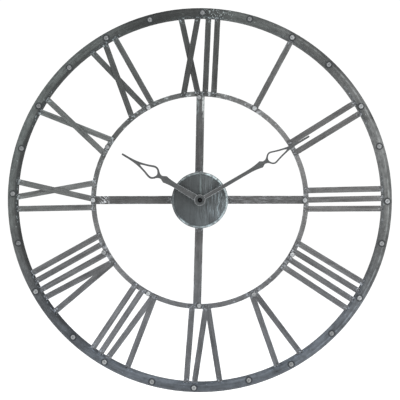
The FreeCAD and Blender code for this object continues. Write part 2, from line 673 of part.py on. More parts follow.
# ------------------------------------------------------ electrical parts
b = new_body("board_body")
sk = new_sketch(b, "board_outline", "XZ_Plane", "9.5")
box_loop(sk, 15.4, 25.9, -9.5, 22.0)
pad(b, sk, "0.8", "board_pad")
sk = new_sketch(b, "chip_outline", "XZ_Plane", "10.3")
box_loop(sk, 17.6, 23.6, 2.0, 8.0)
pad(b, sk, "1.1", "chip_pad")
place(b, "circuit_board")
crystal = doc.addObject("Part::Cylinder", "crystal_can")
crystal.Radius, crystal.Height = 1.0, 6.2
crystal.Placement = FreeCAD.Placement(V(20.6, -11.4, 12.0), FreeCAD.Rotation())
place(group("crystal_group", [crystal]), "quartz_crystal")

RX, RZ = C_ROTOR
b = new_body("stator_body")
sk = new_sketch(b, "stator_outline", "XZ_Plane", "11.6")
loop(sk, [(-25.0, 10.9), (-3.2, 10.9), (-3.2, 16.9), (-5.8, 16.9), (-5.8, 24.6),
          (-7.8, 24.6), (-7.8, 16.9), (-23.2, 16.9), (-23.2, 24.6), (-25.0, 24.6)])
circle(sk, RX, RZ, 2.4)
pad(b, sk, "Dims.train_thick", "stator_pad")
place(b, "stator_plate")
b = new_body("core_body")
sk = new_sketch(b, "core_outline", "XZ_Plane", "12.4")
box_loop(sk, -25.0, -5.8, 23.0, 24.4)
pad(b, sk, "1.4", "core_pad")
place(b, "coil_core")


def x_rod(name, x0, x1, r, z, depth):
    c_ = doc.addObject("Part::Cylinder", name)
    c_.Radius, c_.Height = r, x1 - x0
    c_.Placement = FreeCAD.Placement(V(x0, -depth, z),
                                     FreeCAD.Rotation(V(0, 1, 0), 90))
    return c_


CZ, CD = 23.7, 13.1
spool = fuse("spool_solid", [x_rod("spool_tube", -22.4, -8.6, 1.45, CZ, CD),
                             x_rod("spool_flange_l", -22.4, -21.7, 2.6, CZ, CD),
                             x_rod("spool_flange_r", -9.3, -8.6, 2.6, CZ, CD)])
place(cut("spool", spool, prim_box("spool_slot", -30, 0, CD - 0.72, CD + 0.72,
                                   CZ - 0.72, CZ + 0.72)), "coil_bobbin")
place(cut("winding", x_rod("winding_out", -21.6, -9.4, 2.35, CZ, CD),
          x_rod("winding_in", -23, -8, 1.5, CZ, CD)), "coil_winding")

# Battery contacts: spring plates at each end of the bay.
BL, BR_ = D["battery_length"] / 2, D["battery_radius"]
for label, s in (("battery_contact_positive", 1), ("battery_contact_negative", -1)):
    x_in = BL + 0.55 if s > 0 else -BL - 0.55
    xa, xb = sorted((x_in, x_in + s * 0.5))
    plate = prim_box(label + "_plate", xa, xb, 10.0, 18.6, -BD - 4.5, -BD + 4.5)
    xa, xb = sorted((x_in, x_in - s * 0.45))
    bump = prim_box(label + "_bump", xa, xb, 12.3, 16.3, -BD - 2.0, -BD + 2.0)
    place(fuse(label + "_solid", [plate, bump]), label)

# Battery: an AA cell with its positive button.
b = new_body("battery_body")
sk = new_sketch(b, "battery_section", "XY_Plane")
loop(sk, [(0.0, (-BL, "-Dims.battery_length / 2")),
          ((BR_, "Dims.battery_radius"), (-BL, "-Dims.battery_length / 2")),
          ((BR_, "Dims.battery_radius"), (BL - 1.2, "Dims.battery_length / 2 - 1.2")),
          (2.75, (BL - 1.2, "Dims.battery_length / 2 - 1.2")),
          (2.75, (BL, "Dims.battery_length / 2")),
          (0.0, (BL, "Dims.battery_length / 2"))])
revolve(b, sk, "battery_can")
b.Label = "battery"
b.Placement = FreeCAD.Placement(V(0, -D["battery_depth"], -D["ring_mid"] - BD),
                                FreeCAD.Rotation(V(0, 0, 1), -90))
bind(b, "Placement.Base.y", "-Dims.battery_depth")
bind(b, "Placement.Base.z", "-Dims.ring_mid - Dims.battery_drop")
NODES["battery"] = b

# ============================================================== gear wheels
def inv(a):
    return math.tan(a) - a


def gear_face(teeth, module, centre, tooth_at=None, gap_at=None,
              addendum=0.7, dedendum=1.0, fill=0.78):
    """Outline of a spur wheel with involute flanks, thinned for backlash.
    tooth_at / gap_at: direction (degrees) that a tooth or a gap points to."""
    r = module * teeth / 2.0
    rb = r * math.cos(math.radians(20))
    rt, rr = r + addendum * module, r - dedendum * module
    hp = math.pi / (2 * teeth) * fill
    base = hp + inv(math.radians(20))

    def half_at(rad):
        if rad <= rb:
            return base
        return base - inv(math.acos(rb / rad))

    start = math.radians(tooth_at if tooth_at is not None
                         else gap_at + 180.0 / teeth)
    radii = [rr, max(rb, rr + 0.02), (max(rb, rr) + rt) / 2, rt]
    pts = []
    for k in range(teeth):
        a = start + 2 * math.pi * k / teeth
        for rad in radii:
            h = half_at(rad)
            pts.append((rad * math.cos(a - h), rad * math.sin(a - h)))
        for rad in reversed(radii):
            h = half_at(rad)
            pts.append((rad * math.cos(a + h), rad * math.sin(a + h)))
    vs = [V(centre[0] + x, 0, centre[1] + z) for x, z in pts]
    vs.append(vs[0])
    return Part.Face(Part.Wire(Part.makePolygon(vs)))


def slab(face, d0, d1):
    f = face.copy()
    f.translate(V(0, -d0, 0))
    return f.extrude(V(0, -(d1 - d0), 0))


def rod(centre, r, d0, d1):
    return Part.makeCylinder(r, d1 - d0, V(centre[0], -d0, centre[1]), V(0, -1, 0))


def feature(label, shape):
    """A sub-part made directly with Part: toothed wheels have hundreds of
    short faces, which no sketch constraint would add to."""
    o = doc.addObject("Part::Feature", label + "_wheel")
    o.Shape = shape
    return place(o, label)


WT, TT = D["wheel_thick"], D["train_thick"]
HPO, HPI, MS = D["hour_pipe_out"], D["hour_pipe_in"], D["minute_shaft"]
MH = D["minute_hand_depth"]
HH_D = D["hour_hand_depth"]

# cannon pinion: ten teeth cut on the minute arbor
s = slab(gear_face(10, MM, C0, tooth_at=A_MOTION), 17.2, 19.2)
s = s.fuse([rod(C0, 1.0, 8.6, 14.1), rod(C0, 1.45, 14.1, 17.3),
            rod(C0, MS, 19.1, MH + D["boss_thick"] + 1.0)])
feature("minute_arbor", s.removeSplitter())

# motion wheel and pinion on the arbor that comes out of the back cover
s = slab(gear_face(30, MM, C_MOTION, gap_at=A_MOTION + 180), 17.4, 17.4 + WT)
s = s.fuse([slab(gear_face(8, MM, C_MOTION, tooth_at=A_MOTION + 180), 17.5 + WT, 21.2),
            rod(C_MOTION, 1.4, 17.3 + WT, 17.6 + WT),
            rod(C_MOTION, 0.9, 4.6, 21.6)])
feature("motion_wheel", s.removeSplitter())

# hour wheel with its pipe
s = slab(gear_face(32, MM, C0, gap_at=A_MOTION), 19.6, 19.6 + WT)
s = s.fuse([rod(C0, HPO, 19.6, HH_D + D["boss_thick"] + 0.3)])
s = s.cut(rod(C0, HPI, 19.0, 40.0))
feature("hour_wheel", s.removeSplitter())

# centre wheel, driven by the train and gripping the minute arbor by friction
s = slab(gear_face(64, MT, C0, tooth_at=A_THIRD), 14.6, 14.6 + WT - 0.2)
s = s.fuse([rod(C0, 2.6, 14.3, 16.1)]).cut(rod(C0, 1.53, 14.0, 17.0))
feature("centre_wheel", s.removeSplitter())


def arbor(label, centre, wheel, pinion, extra=()):
    """Wheel and pinion on one arbor with a thin pivot at each end."""
    parts = [rod(centre, 0.5, 9.35, 16.3), rod(centre, PIVOT, 8.6, 16.9)]
    parts += list(extra)
    sh = wheel.fuse([pinion] + parts) if wheel else pinion.fuse(parts)
    return feature(label, sh.removeSplitter())


arbor("third_wheel", C_THIRD,
      slab(gear_face(60, MT, C_THIRD, tooth_at=A_FOURTH), 12.5, 12.5 + TT),
      slab(gear_face(8, MT, C_THIRD, gap_at=A_THIRD + 180), 14.2, 15.9))
arbor("fourth_wheel", C_FOURTH,
      slab(gear_face(40, MF, C_FOURTH, tooth_at=A_INTER), 10.6, 10.6 + TT),
      slab(gear_face(8, MT, C_FOURTH, gap_at=A_FOURTH + 180), 12.2, 13.6))
arbor("intermediate_wheel", C_INTER,
      slab(gear_face(48, MR, C_INTER, tooth_at=A_ROTOR), 14.9, 14.9 + TT),
      slab(gear_face(8, MF, C_INTER, gap_at=A_INTER + 180), 10.3, 11.7))
arbor("rotor", C_ROTOR, None,
      slab(gear_face(8, MR, C_ROTOR, gap_at=A_ROTOR + 180), 14.6, 16.0),
      [rod(C_ROTOR, 2.0, 10.8, 13.4)])

# Hand-setting knob on the motion arbor, with grip flutes round its rim.
s = rod(C_MOTION, 5.4, 3.2, 7.0)
for k in range(18):
    t = 2 * math.pi * k / 18
    s = s.cut(rod((C_MOTION[0] + 5.6 * math.cos(t), C_MOTION[1] + 5.6 * math.sin(t)),
                  0.5, 3.0, 7.2))
s = s.cut(rod(C_MOTION, 0.9, 4.6, 7.5))
feature("setting_knob", s)


# =================================================================== hands
def hand(label, depth_expr, right, hole_right, tip, bore, angle):
    """Pierced hand: shank, pointed collar, teardrop loop and needle.
    right: half outline from the boss to just short of the tip, as runs of
    points; a run of two points is straight, a longer run is a smooth curve."""
    body = new_body(label + "_body")
    sk = new_sketch(body, label + "_outline", "XZ_Plane", depth_expr)

    def add_run(run, mirror):
        pts = [V(-w if mirror else w, t, 0) for t, w in run]
        if len(pts) == 2:
            sk.addGeometry(Part.LineSegment(pts[0], pts[1]), False)
        else:
            c_ = Part.BSplineCurve()
            c_.interpolate(pts)
            sk.addGeometry(c_, False)

    for side in (False, True):
        for run in right:
            add_run(run, side)
    t0, w0 = right[0][0]
    sk.addGeometry(Part.LineSegment(V(-w0, t0, 0), V(w0, t0, 0)), False)
    t1, w1 = right[-1][-1]
    sk.addGeometry(Part.Arc(V(w1, t1, 0), V(0, tip, 0), V(-w1, t1, 0)), False)
    pts = [V(w, t, 0) for t, w in hole_right]
    c_ = Part.BSplineCurve()
    c_.interpolate(pts)
    sk.addGeometry(c_, False)
    pts = [V(-w, t, 0) for t, w in hole_right]
    c_ = Part.BSplineCurve()
    c_.interpolate(pts)
    sk.addGeometry(c_, False)
    pad(body, sk, "Dims.hand_thick", label + "_plate")
    sk = new_sketch(body, label + "_boss_outline", "XZ_Plane", depth_expr)
    circle(sk, 0, 0, D["boss_radius"], "Dims.boss_radius")
    pad(body, sk, "Dims.boss_thick", label + "_boss")
    sk = new_sketch(body, label + "_bore", "XZ_Plane", depth_expr)
    circle(sk, 0, 0, bore[0], bore[1])
    pocket(body, sk, "Dims.boss_thick + 1", label + "_bore_cut")
    place(body, label, angle)
    bind(body, "Placement.Rotation.Angle", "Dims.%s_angle" % label)
    return body


hand("hour_hand", "Dims.hour_hand_depth",
     [[(0.0, 5.5), (12.0, 5.5)],
      [(12.0, 5.5), (30.0, 5.2), (48.0, 4.75), (56.0, 4.65), (62.0, 5.05),
       (68.0, 5.75), (73.4, 6.75)],
      [(73.4, 6.75), (79.8, 3.4)],
      [(79.8, 3.4), (82.3, 3.4), (85.0, 4.25), (87.6, 5.9), (90.0, 8.3),
       (92.8, 10.6), (95.8, 12.0), (99.0, 12.35), (102.3, 11.85), (106.0, 10.55),
       (110.5, 8.8), (116.0, 7.0), (122.0, 5.4), (129.0, 3.85), (136.0, 2.8),
       (143.0, 2.2), (150.0, 1.9)],
      [(150.0, 1.9), (161.8, 1.75)]],
     [(90.0, 0.0), (90.6, 2.5), (92.0, 4.9), (94.0, 7.15), (96.2, 8.35),
      (98.6, 8.7), (101.2, 8.35), (104.5, 7.3), (110.0, 5.3), (116.0, 3.4),
      (121.5, 1.7), (125.4, 0.0)],
     163.6, (2.62, "Dims.hour_pipe_out + 0.02"), D["hour_hand_angle"])

hand("minute_hand", "Dims.minute_hand_depth",
     [[(0.0, 3.7), (12.0, 3.7)],
      [(12.0, 3.7), (40.0, 3.45), (70.0, 3.35), (98.0, 3.35), (107.0, 3.55),
       (115.0, 4.25), (121.5, 5.2), (127.8, 6.5)],
      [(127.8, 6.5), (133.0, 3.3)],
      [(133.0, 3.3), (135.5, 3.2), (138.0, 3.7), (140.5, 5.0), (143.0, 7.4),
       (145.6, 9.8), (148.4, 11.4), (151.4, 11.9), (154.8, 11.4), (159.0, 10.0),
       (164.0, 8.45), (171.0, 6.55), (178.0, 4.9), (185.0, 3.6), (192.0, 2.75),
       (199.0, 2.2), (206.0, 1.9)],
      [(206.0, 1.9), (226.8, 1.75)]],
     [(143.2, 0.0), (143.8, 2.5), (145.2, 5.1), (147.2, 7.4), (149.4, 8.6),
      (151.8, 8.9), (154.4, 8.4), (158.0, 7.25), (164.0, 5.3), (171.0, 3.4),
      (177.0, 1.8), (181.6, 0.0)],
     228.5, (1.77, "Dims.minute_shaft + 0.02"), D["minute_hand_angle"])

# Nut that holds the minute hand; the arbor ends inside its open mouth.
b = new_body("hand_nut_body")
sk = new_sketch(b, "hand_nut_section", "XY_Plane")
n0 = MH + D["boss_thick"]
loop(sk, [((MS + 0.02), -n0), (6.3, -n0), (6.3, -(n0 + 1.4)), (5.0, -(n0 + 2.6)),
          (3.1, -(n0 + 2.6)), (2.7, -(n0 + 2.2)), (2.7, -(n0 + 1.0)),
          ((MS + 0.02), -(n0 + 1.0))])
revolve(b, sk, "hand_nut_turn")
place(b, "hand_nut")

# ============================================================ check & export
doc.recompute()
bad = []
for o in doc.Objects:
    if "Invalid" in o.State or "Error" in o.State:
        bad.append("%s (%s): %s" % (o.Name, o.Label, o.State))
for label, o in NODES.items():
    shp = o.Shape
    if shp.isNull() or not shp.isValid() or len(shp.Solids) < 1:
        bad.append("%s has no valid solid" % label)
if bad:
    raise RuntimeError("model errors:\n" + "\n".join(bad))
if len(NODES) > 60:
    raise RuntimeError("too many files")

os.makedirs("parts", exist_ok=True)
for old in os.listdir("parts"):
    if old.endswith(".step") and old[:-5] not in NODES:
        os.remove(os.path.join("parts", old))
for label, o in NODES.items():
    o.Shape.exportStep("parts/%s.step" % label)
    bb = o.Shape.optimalBoundingBox()
    print("%-26s solids %2d vol %10.1f  x %.2f..%.2f y %.2f..%.2f z %.2f..%.2f" % (
        label, len(o.Shape.Solids), o.Shape.Volume, bb.XMin, bb.XMax,
        bb.YMin, bb.YMax, bb.ZMin, bb.ZMax))
print("nodes", len(NODES))
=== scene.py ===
import bpy
import bmesh
import math
import random
from mathutils import Vector, Matrix, noise as mnoise


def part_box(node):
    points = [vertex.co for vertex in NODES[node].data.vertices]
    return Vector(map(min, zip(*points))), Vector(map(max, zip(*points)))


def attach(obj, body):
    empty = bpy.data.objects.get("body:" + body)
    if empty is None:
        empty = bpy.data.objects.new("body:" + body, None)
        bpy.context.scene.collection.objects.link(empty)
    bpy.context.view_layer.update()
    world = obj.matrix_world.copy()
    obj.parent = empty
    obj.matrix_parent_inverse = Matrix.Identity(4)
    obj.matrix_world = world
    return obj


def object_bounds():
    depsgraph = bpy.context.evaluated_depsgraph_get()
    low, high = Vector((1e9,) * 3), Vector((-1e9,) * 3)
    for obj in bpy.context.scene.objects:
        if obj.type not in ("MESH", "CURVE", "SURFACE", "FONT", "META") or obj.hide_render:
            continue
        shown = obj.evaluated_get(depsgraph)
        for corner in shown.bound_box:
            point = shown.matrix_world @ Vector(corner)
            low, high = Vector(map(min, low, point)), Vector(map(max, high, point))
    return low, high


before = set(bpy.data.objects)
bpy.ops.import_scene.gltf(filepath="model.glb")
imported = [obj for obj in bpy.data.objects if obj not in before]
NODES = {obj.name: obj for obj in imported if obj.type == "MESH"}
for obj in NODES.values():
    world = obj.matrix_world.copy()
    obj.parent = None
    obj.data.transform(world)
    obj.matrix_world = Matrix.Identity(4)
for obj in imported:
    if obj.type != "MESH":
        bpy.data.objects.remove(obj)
CAD_BOX = [[float(c) for c in v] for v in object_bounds()]
SC = bpy.context.scene
random.seed(11)

# ------------------------------------------------------------------ places
ring_lo, ring_hi = [Vector(v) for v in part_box("outer_ring")]
RING_OUT = (ring_hi.x - ring_lo.x) / 2
AX = Vector(((ring_lo.x + ring_hi.x) / 2, 0.0, (ring_lo.z + ring_hi.z) / 2))
MM = 0.001
RING_TUBE = ring_hi.y - ring_lo.y
RING_MID = RING_OUT - RING_TUBE
in_lo, in_hi = [Vector(v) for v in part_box("inner_ring")]
INNER_OUT = (in_hi.x - in_lo.x) / 2
INNER_FRONT = in_lo.y
hub_lo, hub_hi = [Vector(v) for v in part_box("hub_cup")]
HUB_R = (hub_hi.x - hub_lo.x) / 2


# ======================================================= shader building kit
class Tree:
    """Small helper that writes shader graphs as nested calls."""

    def __init__(self, name):
        self.mat = bpy.data.materials.new(name)
        self.mat.use_nodes = True
        self.nt = self.mat.node_tree
        self.nt.nodes.clear()
        self.out = self.nt.nodes.new("ShaderNodeOutputMaterial")
        self.bsdf = self.nt.nodes.new("ShaderNodeBsdfPrincipled")
        self.nt.links.new(self.bsdf.outputs[0], self.out.inputs["Surface"])

    def node(self, kind, **props):
        n = self.nt.nodes.new(kind)
        for k, v in props.items():
            setattr(n, k, v)
        return n

    def put(self, sock, val):
        if isinstance(val, bpy.types.NodeSocket):
            self.nt.links.new(val, sock)
        elif val is not None:
            if hasattr(sock.default_value, "__len__") and not hasattr(val, "__len__"):
                val = [val] * len(sock.default_value)
            if hasattr(val, "__len__") and len(sock.default_value) == 4 and len(val) == 3:
                val = tuple(val) + (1.0,)
            sock.default_value = val

    def m(self, op, a, b=None, c=None, clamp=False):
        n = self.node("ShaderNodeMath", operation=op, use_clamp=clamp)
        self.put(n.inputs[0], a)
        if b is not None:
            self.put(n.inputs[1], b)
        if c is not None:
            self.put(n.inputs[2], c)
        return n.outputs[0]

    def add(self, a, b): return self.m("ADD", a, b)
    def sub(self, a, b): return self.m("SUBTRACT", a, b)
    def mul(self, a, b): return self.m("MULTIPLY", a, b)

    def ramp(self, x, lo, hi, to0=0.0, to1=1.0, smooth=True):
        n = self.node("ShaderNodeMapRange",
                      interpolation_type="SMOOTHSTEP" if smooth else "LINEAR")
        n.clamp = True
        for s, v in zip(n.inputs[:5], (x, lo, hi, to0, to1)):
            self.put(s, v)
        return n.outputs[0]

    def mix(self, f, a, b, mode="MIX"):
        n = self.node("ShaderNodeMix", data_type="RGBA", blend_type=mode)
        self.put(n.inputs[0], f)
        self.put(n.inputs[6], a)
        self.put(n.inputs[7], b)
        return n.outputs[2]

    def mixf(self, f, a, b):
        n = self.node("ShaderNodeMix", data_type="FLOAT")
        self.put(n.inputs[0], f)
        self.put(n.inputs[2], a)
        self.put(n.inputs[3], b)
        return n.outputs[0]

    def vec(self, x, y, z):
        n = self.node("ShaderNodeCombineXYZ")
        for s, v in zip(n.inputs, (x, y, z)):
            self.put(s, v)
        return n.outputs[0]

    def split(self, v):
        n = self.node("ShaderNodeSeparateXYZ")
        self.put(n.inputs[0], v)
        return n.outputs[0], n.outputs[1], n.outputs[2]

    def noise(self, v, scale=1.0, detail=3.0, rough=0.5, dist=0.0, kind="FBM"):
        n = self.node("ShaderNodeTexNoise", noise_dimensions="3D")
        self.put(n.inputs["Vector"], v)
        self.put(n.inputs["Scale"], scale)
        self.put(n.inputs["Detail"], detail)
        self.put(n.inputs["Roughness"], rough)
        self.put(n.inputs["Distortion"], dist)
        return n.outputs[0]

    def voronoi(self, v, scale, feature="F1"):
        n = self.node("ShaderNodeTexVoronoi", feature=feature)
        self.put(n.inputs["Vector"], v)
        self.put(n.inputs["Scale"], scale)
        return n.outputs[0]

    def pos(self):
        """Surface point in the clock's own frame, millimetres, from the dial
        centre: x right, depth in front of the wall, z up."""
        g = self.node("ShaderNodeTexCoord").outputs["Object"]
        x, y, z = self.split(g)
        return (self.mul(self.sub(x, AX.x), 1000.0), self.mul(y, -1000.0),
                self.mul(self.sub(z, AX.z), 1000.0))

    def nearest(self, x, z, centres):
        """Distance in the dial plane to the nearest of some points."""
        p = self.vec(x, 0.0, z)
        best = None
        for cx, cz in centres:
            n = self.node("ShaderNodeVectorMath", operation="DISTANCE")
            self.put(n.inputs[0], p)
            n.inputs[1].default_value = (cx, 0.0, cz)
            d = n.outputs["Value"]
            best = d if best is None else self.m("MINIMUM", best, d)
        return best

    def uv(self, name):
        n = self.node("ShaderNodeUVMap", uv_map=name)
        x, y, _ = self.split(n.outputs[0])
        return x, y

    def bump(self, height, strength=0.3, dist=0.0002, normal=None):
        n = self.node("ShaderNodeBump")
        n.inputs["Strength"].default_value = strength
        n.inputs["Distance"].default_value = dist
        self.put(n.inputs["Height"], height)
        if normal is not None:
            self.put(n.inputs["Normal"], normal)
        return n.outputs[0]

    def finish(self, color, rough, metallic=0.0, normal=None, spec=0.5, **extra):
        b = self.bsdf
        self.put(b.inputs["Base Color"], color)
        self.put(b.inputs["Roughness"], rough)
        self.put(b.inputs["Metallic"], metallic)
        b.inputs["Specular IOR Level"].default_value = spec
        for k, v in extra.items():
            self.put(b.inputs[k.replace("_", " ")], v)
        if normal is not None:
            self.put(b.inputs["Normal"], normal)
        return self.mat


def lin(v):
    v /= 255.0
    return v / 12.92 if v <= 0.04045 else ((v + 0.055) / 1.055) ** 2.4


def dial_curve(t, ang, greys):
    """Tone round the dial: one grey for each equal step clockwise from 12."""
    turn = t.m("FRACT", t.m("DIVIDE", ang, 2 * math.pi))
    n = t.node("ShaderNodeValToRGB")
    n.color_ramp.interpolation = "EASE"
    k = len(greys)
    el = n.color_ramp.elements
    while len(el) > 1:
        el.remove(el[0])
    el[0].position = 0.0
    vals = list(greys) + [greys[0]]
    for i, g in enumerate(vals):
        e = el[0] if i == 0 else el.new(min(1.0, i / k))
        e.color = (lin(g),) * 3 + (1.0,)
    t.put(n.inputs[0], turn)
    return n.outputs[0]


def tinted(t, col, x, z, amount=1.0):
    """Green cast to the upper left, blue cast below, neutral to the right."""
    up = t.ramp(t.add(t.mul(z, 0.8), t.mul(x, -0.6)), 40.0, 300.0)
    low = t.ramp(z, -20.0, -240.0)
    green = t.mix(t.mul(up, amount), (1.0, 1.0, 1.0), (0.955, 1.035, 1.01))
    blue = t.mix(t.mul(low, amount), (1.0, 1.0, 1.0), (0.955, 0.995, 1.065))
    return t.mix(1.0, t.mix(1.0, col, green, "MULTIPLY"), blue, "MULTIPLY")


def scaled(t, col, f):
    return t.mix(1.0, col, t.vec(f, f, f), "MULTIPLY")


# ------------------------------------------------ flat bars, spokes, hanger
def mat_bar(name, gain, streaks=1.0, edge=1.0, speck=0.35, ends_gain=1.0, wear=False):
    """Grey paint rubbed along the bar: soft long streaks, slightly paler edges that are
    rubbed paint and a painted highlight of the rounded edges, spattered ends."""
    t = Tree(name)
    u, v = t.uv("bar_ab")
    _, sd = t.uv("bar_ts")
    hw, ln = t.uv("bar_size")
    tone, edge_own = t.uv("bar_tone")
    x, y, z = t.pos()
    along, across = t.mul(u, 1000.0), t.mul(v, 1000.0)
    half, lnm = t.mul(hw, 1000.0), t.mul(ln, 1000.0)
    s = t.mul(sd, 137.0)
    streak = t.noise(t.vec(t.mul(along, 0.022), t.mul(across, 0.55), s), 1.0, 3.0, 0.55)
    long_ = t.noise(t.vec(t.mul(along, 0.009), t.mul(across, 0.20), t.add(s, 7.3)), 1.0, 2.0, 0.5)
    blotch = t.noise(t.vec(t.mul(along, 0.045), t.mul(across, 0.09), t.add(s, 3.1)), 1.0, 3.0, 0.55)
    fine = t.noise(t.vec(t.mul(along, 0.30), t.mul(across, 0.55), t.add(s, 1.7)), 1.0, 3.0, 0.6)
    v_ = t.add(t.mul(t.sub(streak, 0.5), 1.15 * streaks),
               t.add(t.mul(t.sub(long_, 0.5), 0.90 * streaks),
                     t.add(t.mul(t.sub(blotch, 0.5), 1.05), t.mul(t.sub(fine, 0.5), 0.75))))
    f = t.m("ADD", 1.0, v_)
    base = t.vec(tone, tone, tone)
    col = scaled(t, base, t.mul(f, gain))
    # paler edges, broken along the bar: rubbed paint and a painted highlight of the rounded edges
    rag = t.noise(t.vec(t.mul(along, 0.05), t.mul(across, 0.10), t.add(s, 11.0)), 1.0, 4.0, 0.65)
    dist = t.sub(half, t.m("ABSOLUTE", across))
    reach = t.mul(t.ramp(rag, 0.40, 0.70), 1.9)
    edge_wear_and_highlight = t.mul(t.ramp(t.sub(reach, dist), -0.4, 0.9), t.mul(edge_own, edge))
    col = t.mix(t.mul(edge_wear_and_highlight, 0.45), col, (0.27, 0.285, 0.295))
    # ends: spatter of bare metal and soot beside the welds
    near = t.m("MINIMUM", along, t.sub(lnm, along))
    ends = t.mul(t.ramp(near, 2.0, 15.0, 1.0, 0.0), ends_gain)
    chip = t.noise(t.vec(t.mul(along, 0.28), t.mul(across, 0.28), t.add(s, 19.0)), 1.0, 3.0, 0.6)
    soot = t.noise(t.vec(t.mul(along, 0.33), t.mul(across, 0.33), t.add(s, 29.0)), 1.0, 2.0, 0.5)
    col = t.mix(t.mul(t.mul(ends, t.ramp(soot, 0.52, 0.62)), 0.75), col, (0.025, 0.028, 0.032))
    col = t.mix(t.mul(t.mul(ends, t.ramp(chip, 0.53, 0.64)), 0.75), col, (0.34, 0.36, 0.38))
    # stray nicks in the paint
    nick = t.noise(t.vec(t.mul(along, 0.11), t.mul(across, 0.35), t.add(s, 41.0)), 1.0, 4.0, 0.7)
    nicks = t.ramp(nick, 0.685, 0.74)
    col = t.mix(t.mul(nicks, speck), col, (0.34, 0.355, 0.365))
    if wear:
        # long fine scratches on the 3 o'clock spoke
        sc = t.noise(t.vec(t.mul(along, 0.07), t.mul(across, 1.1), 61.0), 1.0, 3.0, 0.6)
        m = t.mul(t.ramp(x, 52.0, 60.0), t.ramp(x, 110.0, 175.0, 1.0, 0.25))
        col = t.mix(t.mul(t.mul(t.ramp(sc, 0.53, 0.62), m), 0.72), col, (0.29, 0.30, 0.315))
        # cross scratches at the far end of the 9 o'clock spoke
        sc = t.noise(t.vec(t.mul(t.add(along, t.mul(across, 0.8)), 0.30),
                           t.mul(t.sub(along, across), 0.07), 67.0), 1.0, 3.0, 0.6)
        m = t.mul(t.ramp(x, -186.0, -176.0), t.ramp(x, -169.0, -163.0, 1.0, 0.0))
        col = t.mix(t.mul(t.mul(t.ramp(sc, 0.52, 0.59), m), 0.95), col, (0.50, 0.51, 0.53))
        col = t.mix(t.mul(t.mul(t.ramp(sc, 0.45, 0.38), m), 0.35), col, (0.03, 0.033, 0.037))
        m = t.mul(t.ramp(x, -170.0, -150.0), t.ramp(x, -90.0, -60.0, 1.0, 0.0))
        fine_s = t.noise(t.vec(t.mul(along, 0.06), t.mul(across, 1.0), 71.0), 1.0, 3.0, 0.6)
        col = t.mix(t.mul(t.mul(t.ramp(fine_s, 0.60, 0.68), m), 0.35), col, (0.24, 0.25, 0.26))
        # rubbed right-hand edge and stained left half at the top of the 12 o'clock spoke
        rag2 = t.noise(t.vec(t.mul(x, 0.3), 73.0, t.mul(z, 0.12)), 1.0, 3.0, 0.6)
        top = t.ramp(z, 138.0, 165.0)
        m = t.mul(t.mul(t.ramp(x, 3.2, 5.0), t.ramp(x, 7.4, 7.8, 1.0, 0.0)), top)
        col = t.mix(t.mul(t.mul(t.ramp(rag2, 0.40, 0.54), m), 0.80), col, (0.42, 0.43, 0.43))
        m = t.mul(t.ramp(x, 0.0, -3.0), t.ramp(z, 140.0, 172.0))
        col = t.mix(t.mul(t.mul(t.ramp(rag2, 0.36, 0.60), m), 0.45), col, (0.26, 0.30, 0.31))
        m = t.mul(t.mul(t.ramp(z, 50.0, 52.0), t.ramp(z, 60.0, 100.0, 1.0, 0.0)), t.ramp(x, 0.0, 4.0))
        col = t.mix(t.mul(t.mul(t.ramp(rag2, 0.42, 0.60), m), 0.30), col, (0.22, 0.24, 0.23))
    col = tinted(t, col, x, z)
    rough = t.m("ADD", t.mul(streak, 0.20), t.add(0.40, t.mul(fine, 0.14)), clamp=True)
    n = t.bump(t.add(t.mul(streak, 0.6), t.add(t.mul(fine, 0.5), t.mul(nicks, -0.4))), 0.3, 0.00025)
    return t.finish(col, rough, 0.12, n, 0.35)


def islands(me):
    """Connected pieces of a mesh, seams merged: lists of polygon indices."""
    key = {}
    rep = []
    for v in me.vertices:
        k = (round(v.co.x * 1e5), round(v.co.y * 1e5), round(v.co.z * 1e5))
        rep.append(key.setdefault(k, v.index))
    parent = list(range(len(me.vertices)))

    def find(a):
        while parent[a] != a:
            parent[a] = parent[parent[a]]
            a = parent[a]
        return a

    for p in me.polygons:
        a = find(rep[p.vertices[0]])
        for b in p.vertices[1:]:
            b = find(rep[b])
            if a != b:
                parent[b] = a
    out = {}
    for p in me.polygons:
        out.setdefault(find(rep[p.vertices[0]]), []).append(p.index)
    return sorted(out.values(), key=lambda ps: tuple(
        round(c, 5) for c in me.polygons[ps[0]].center))


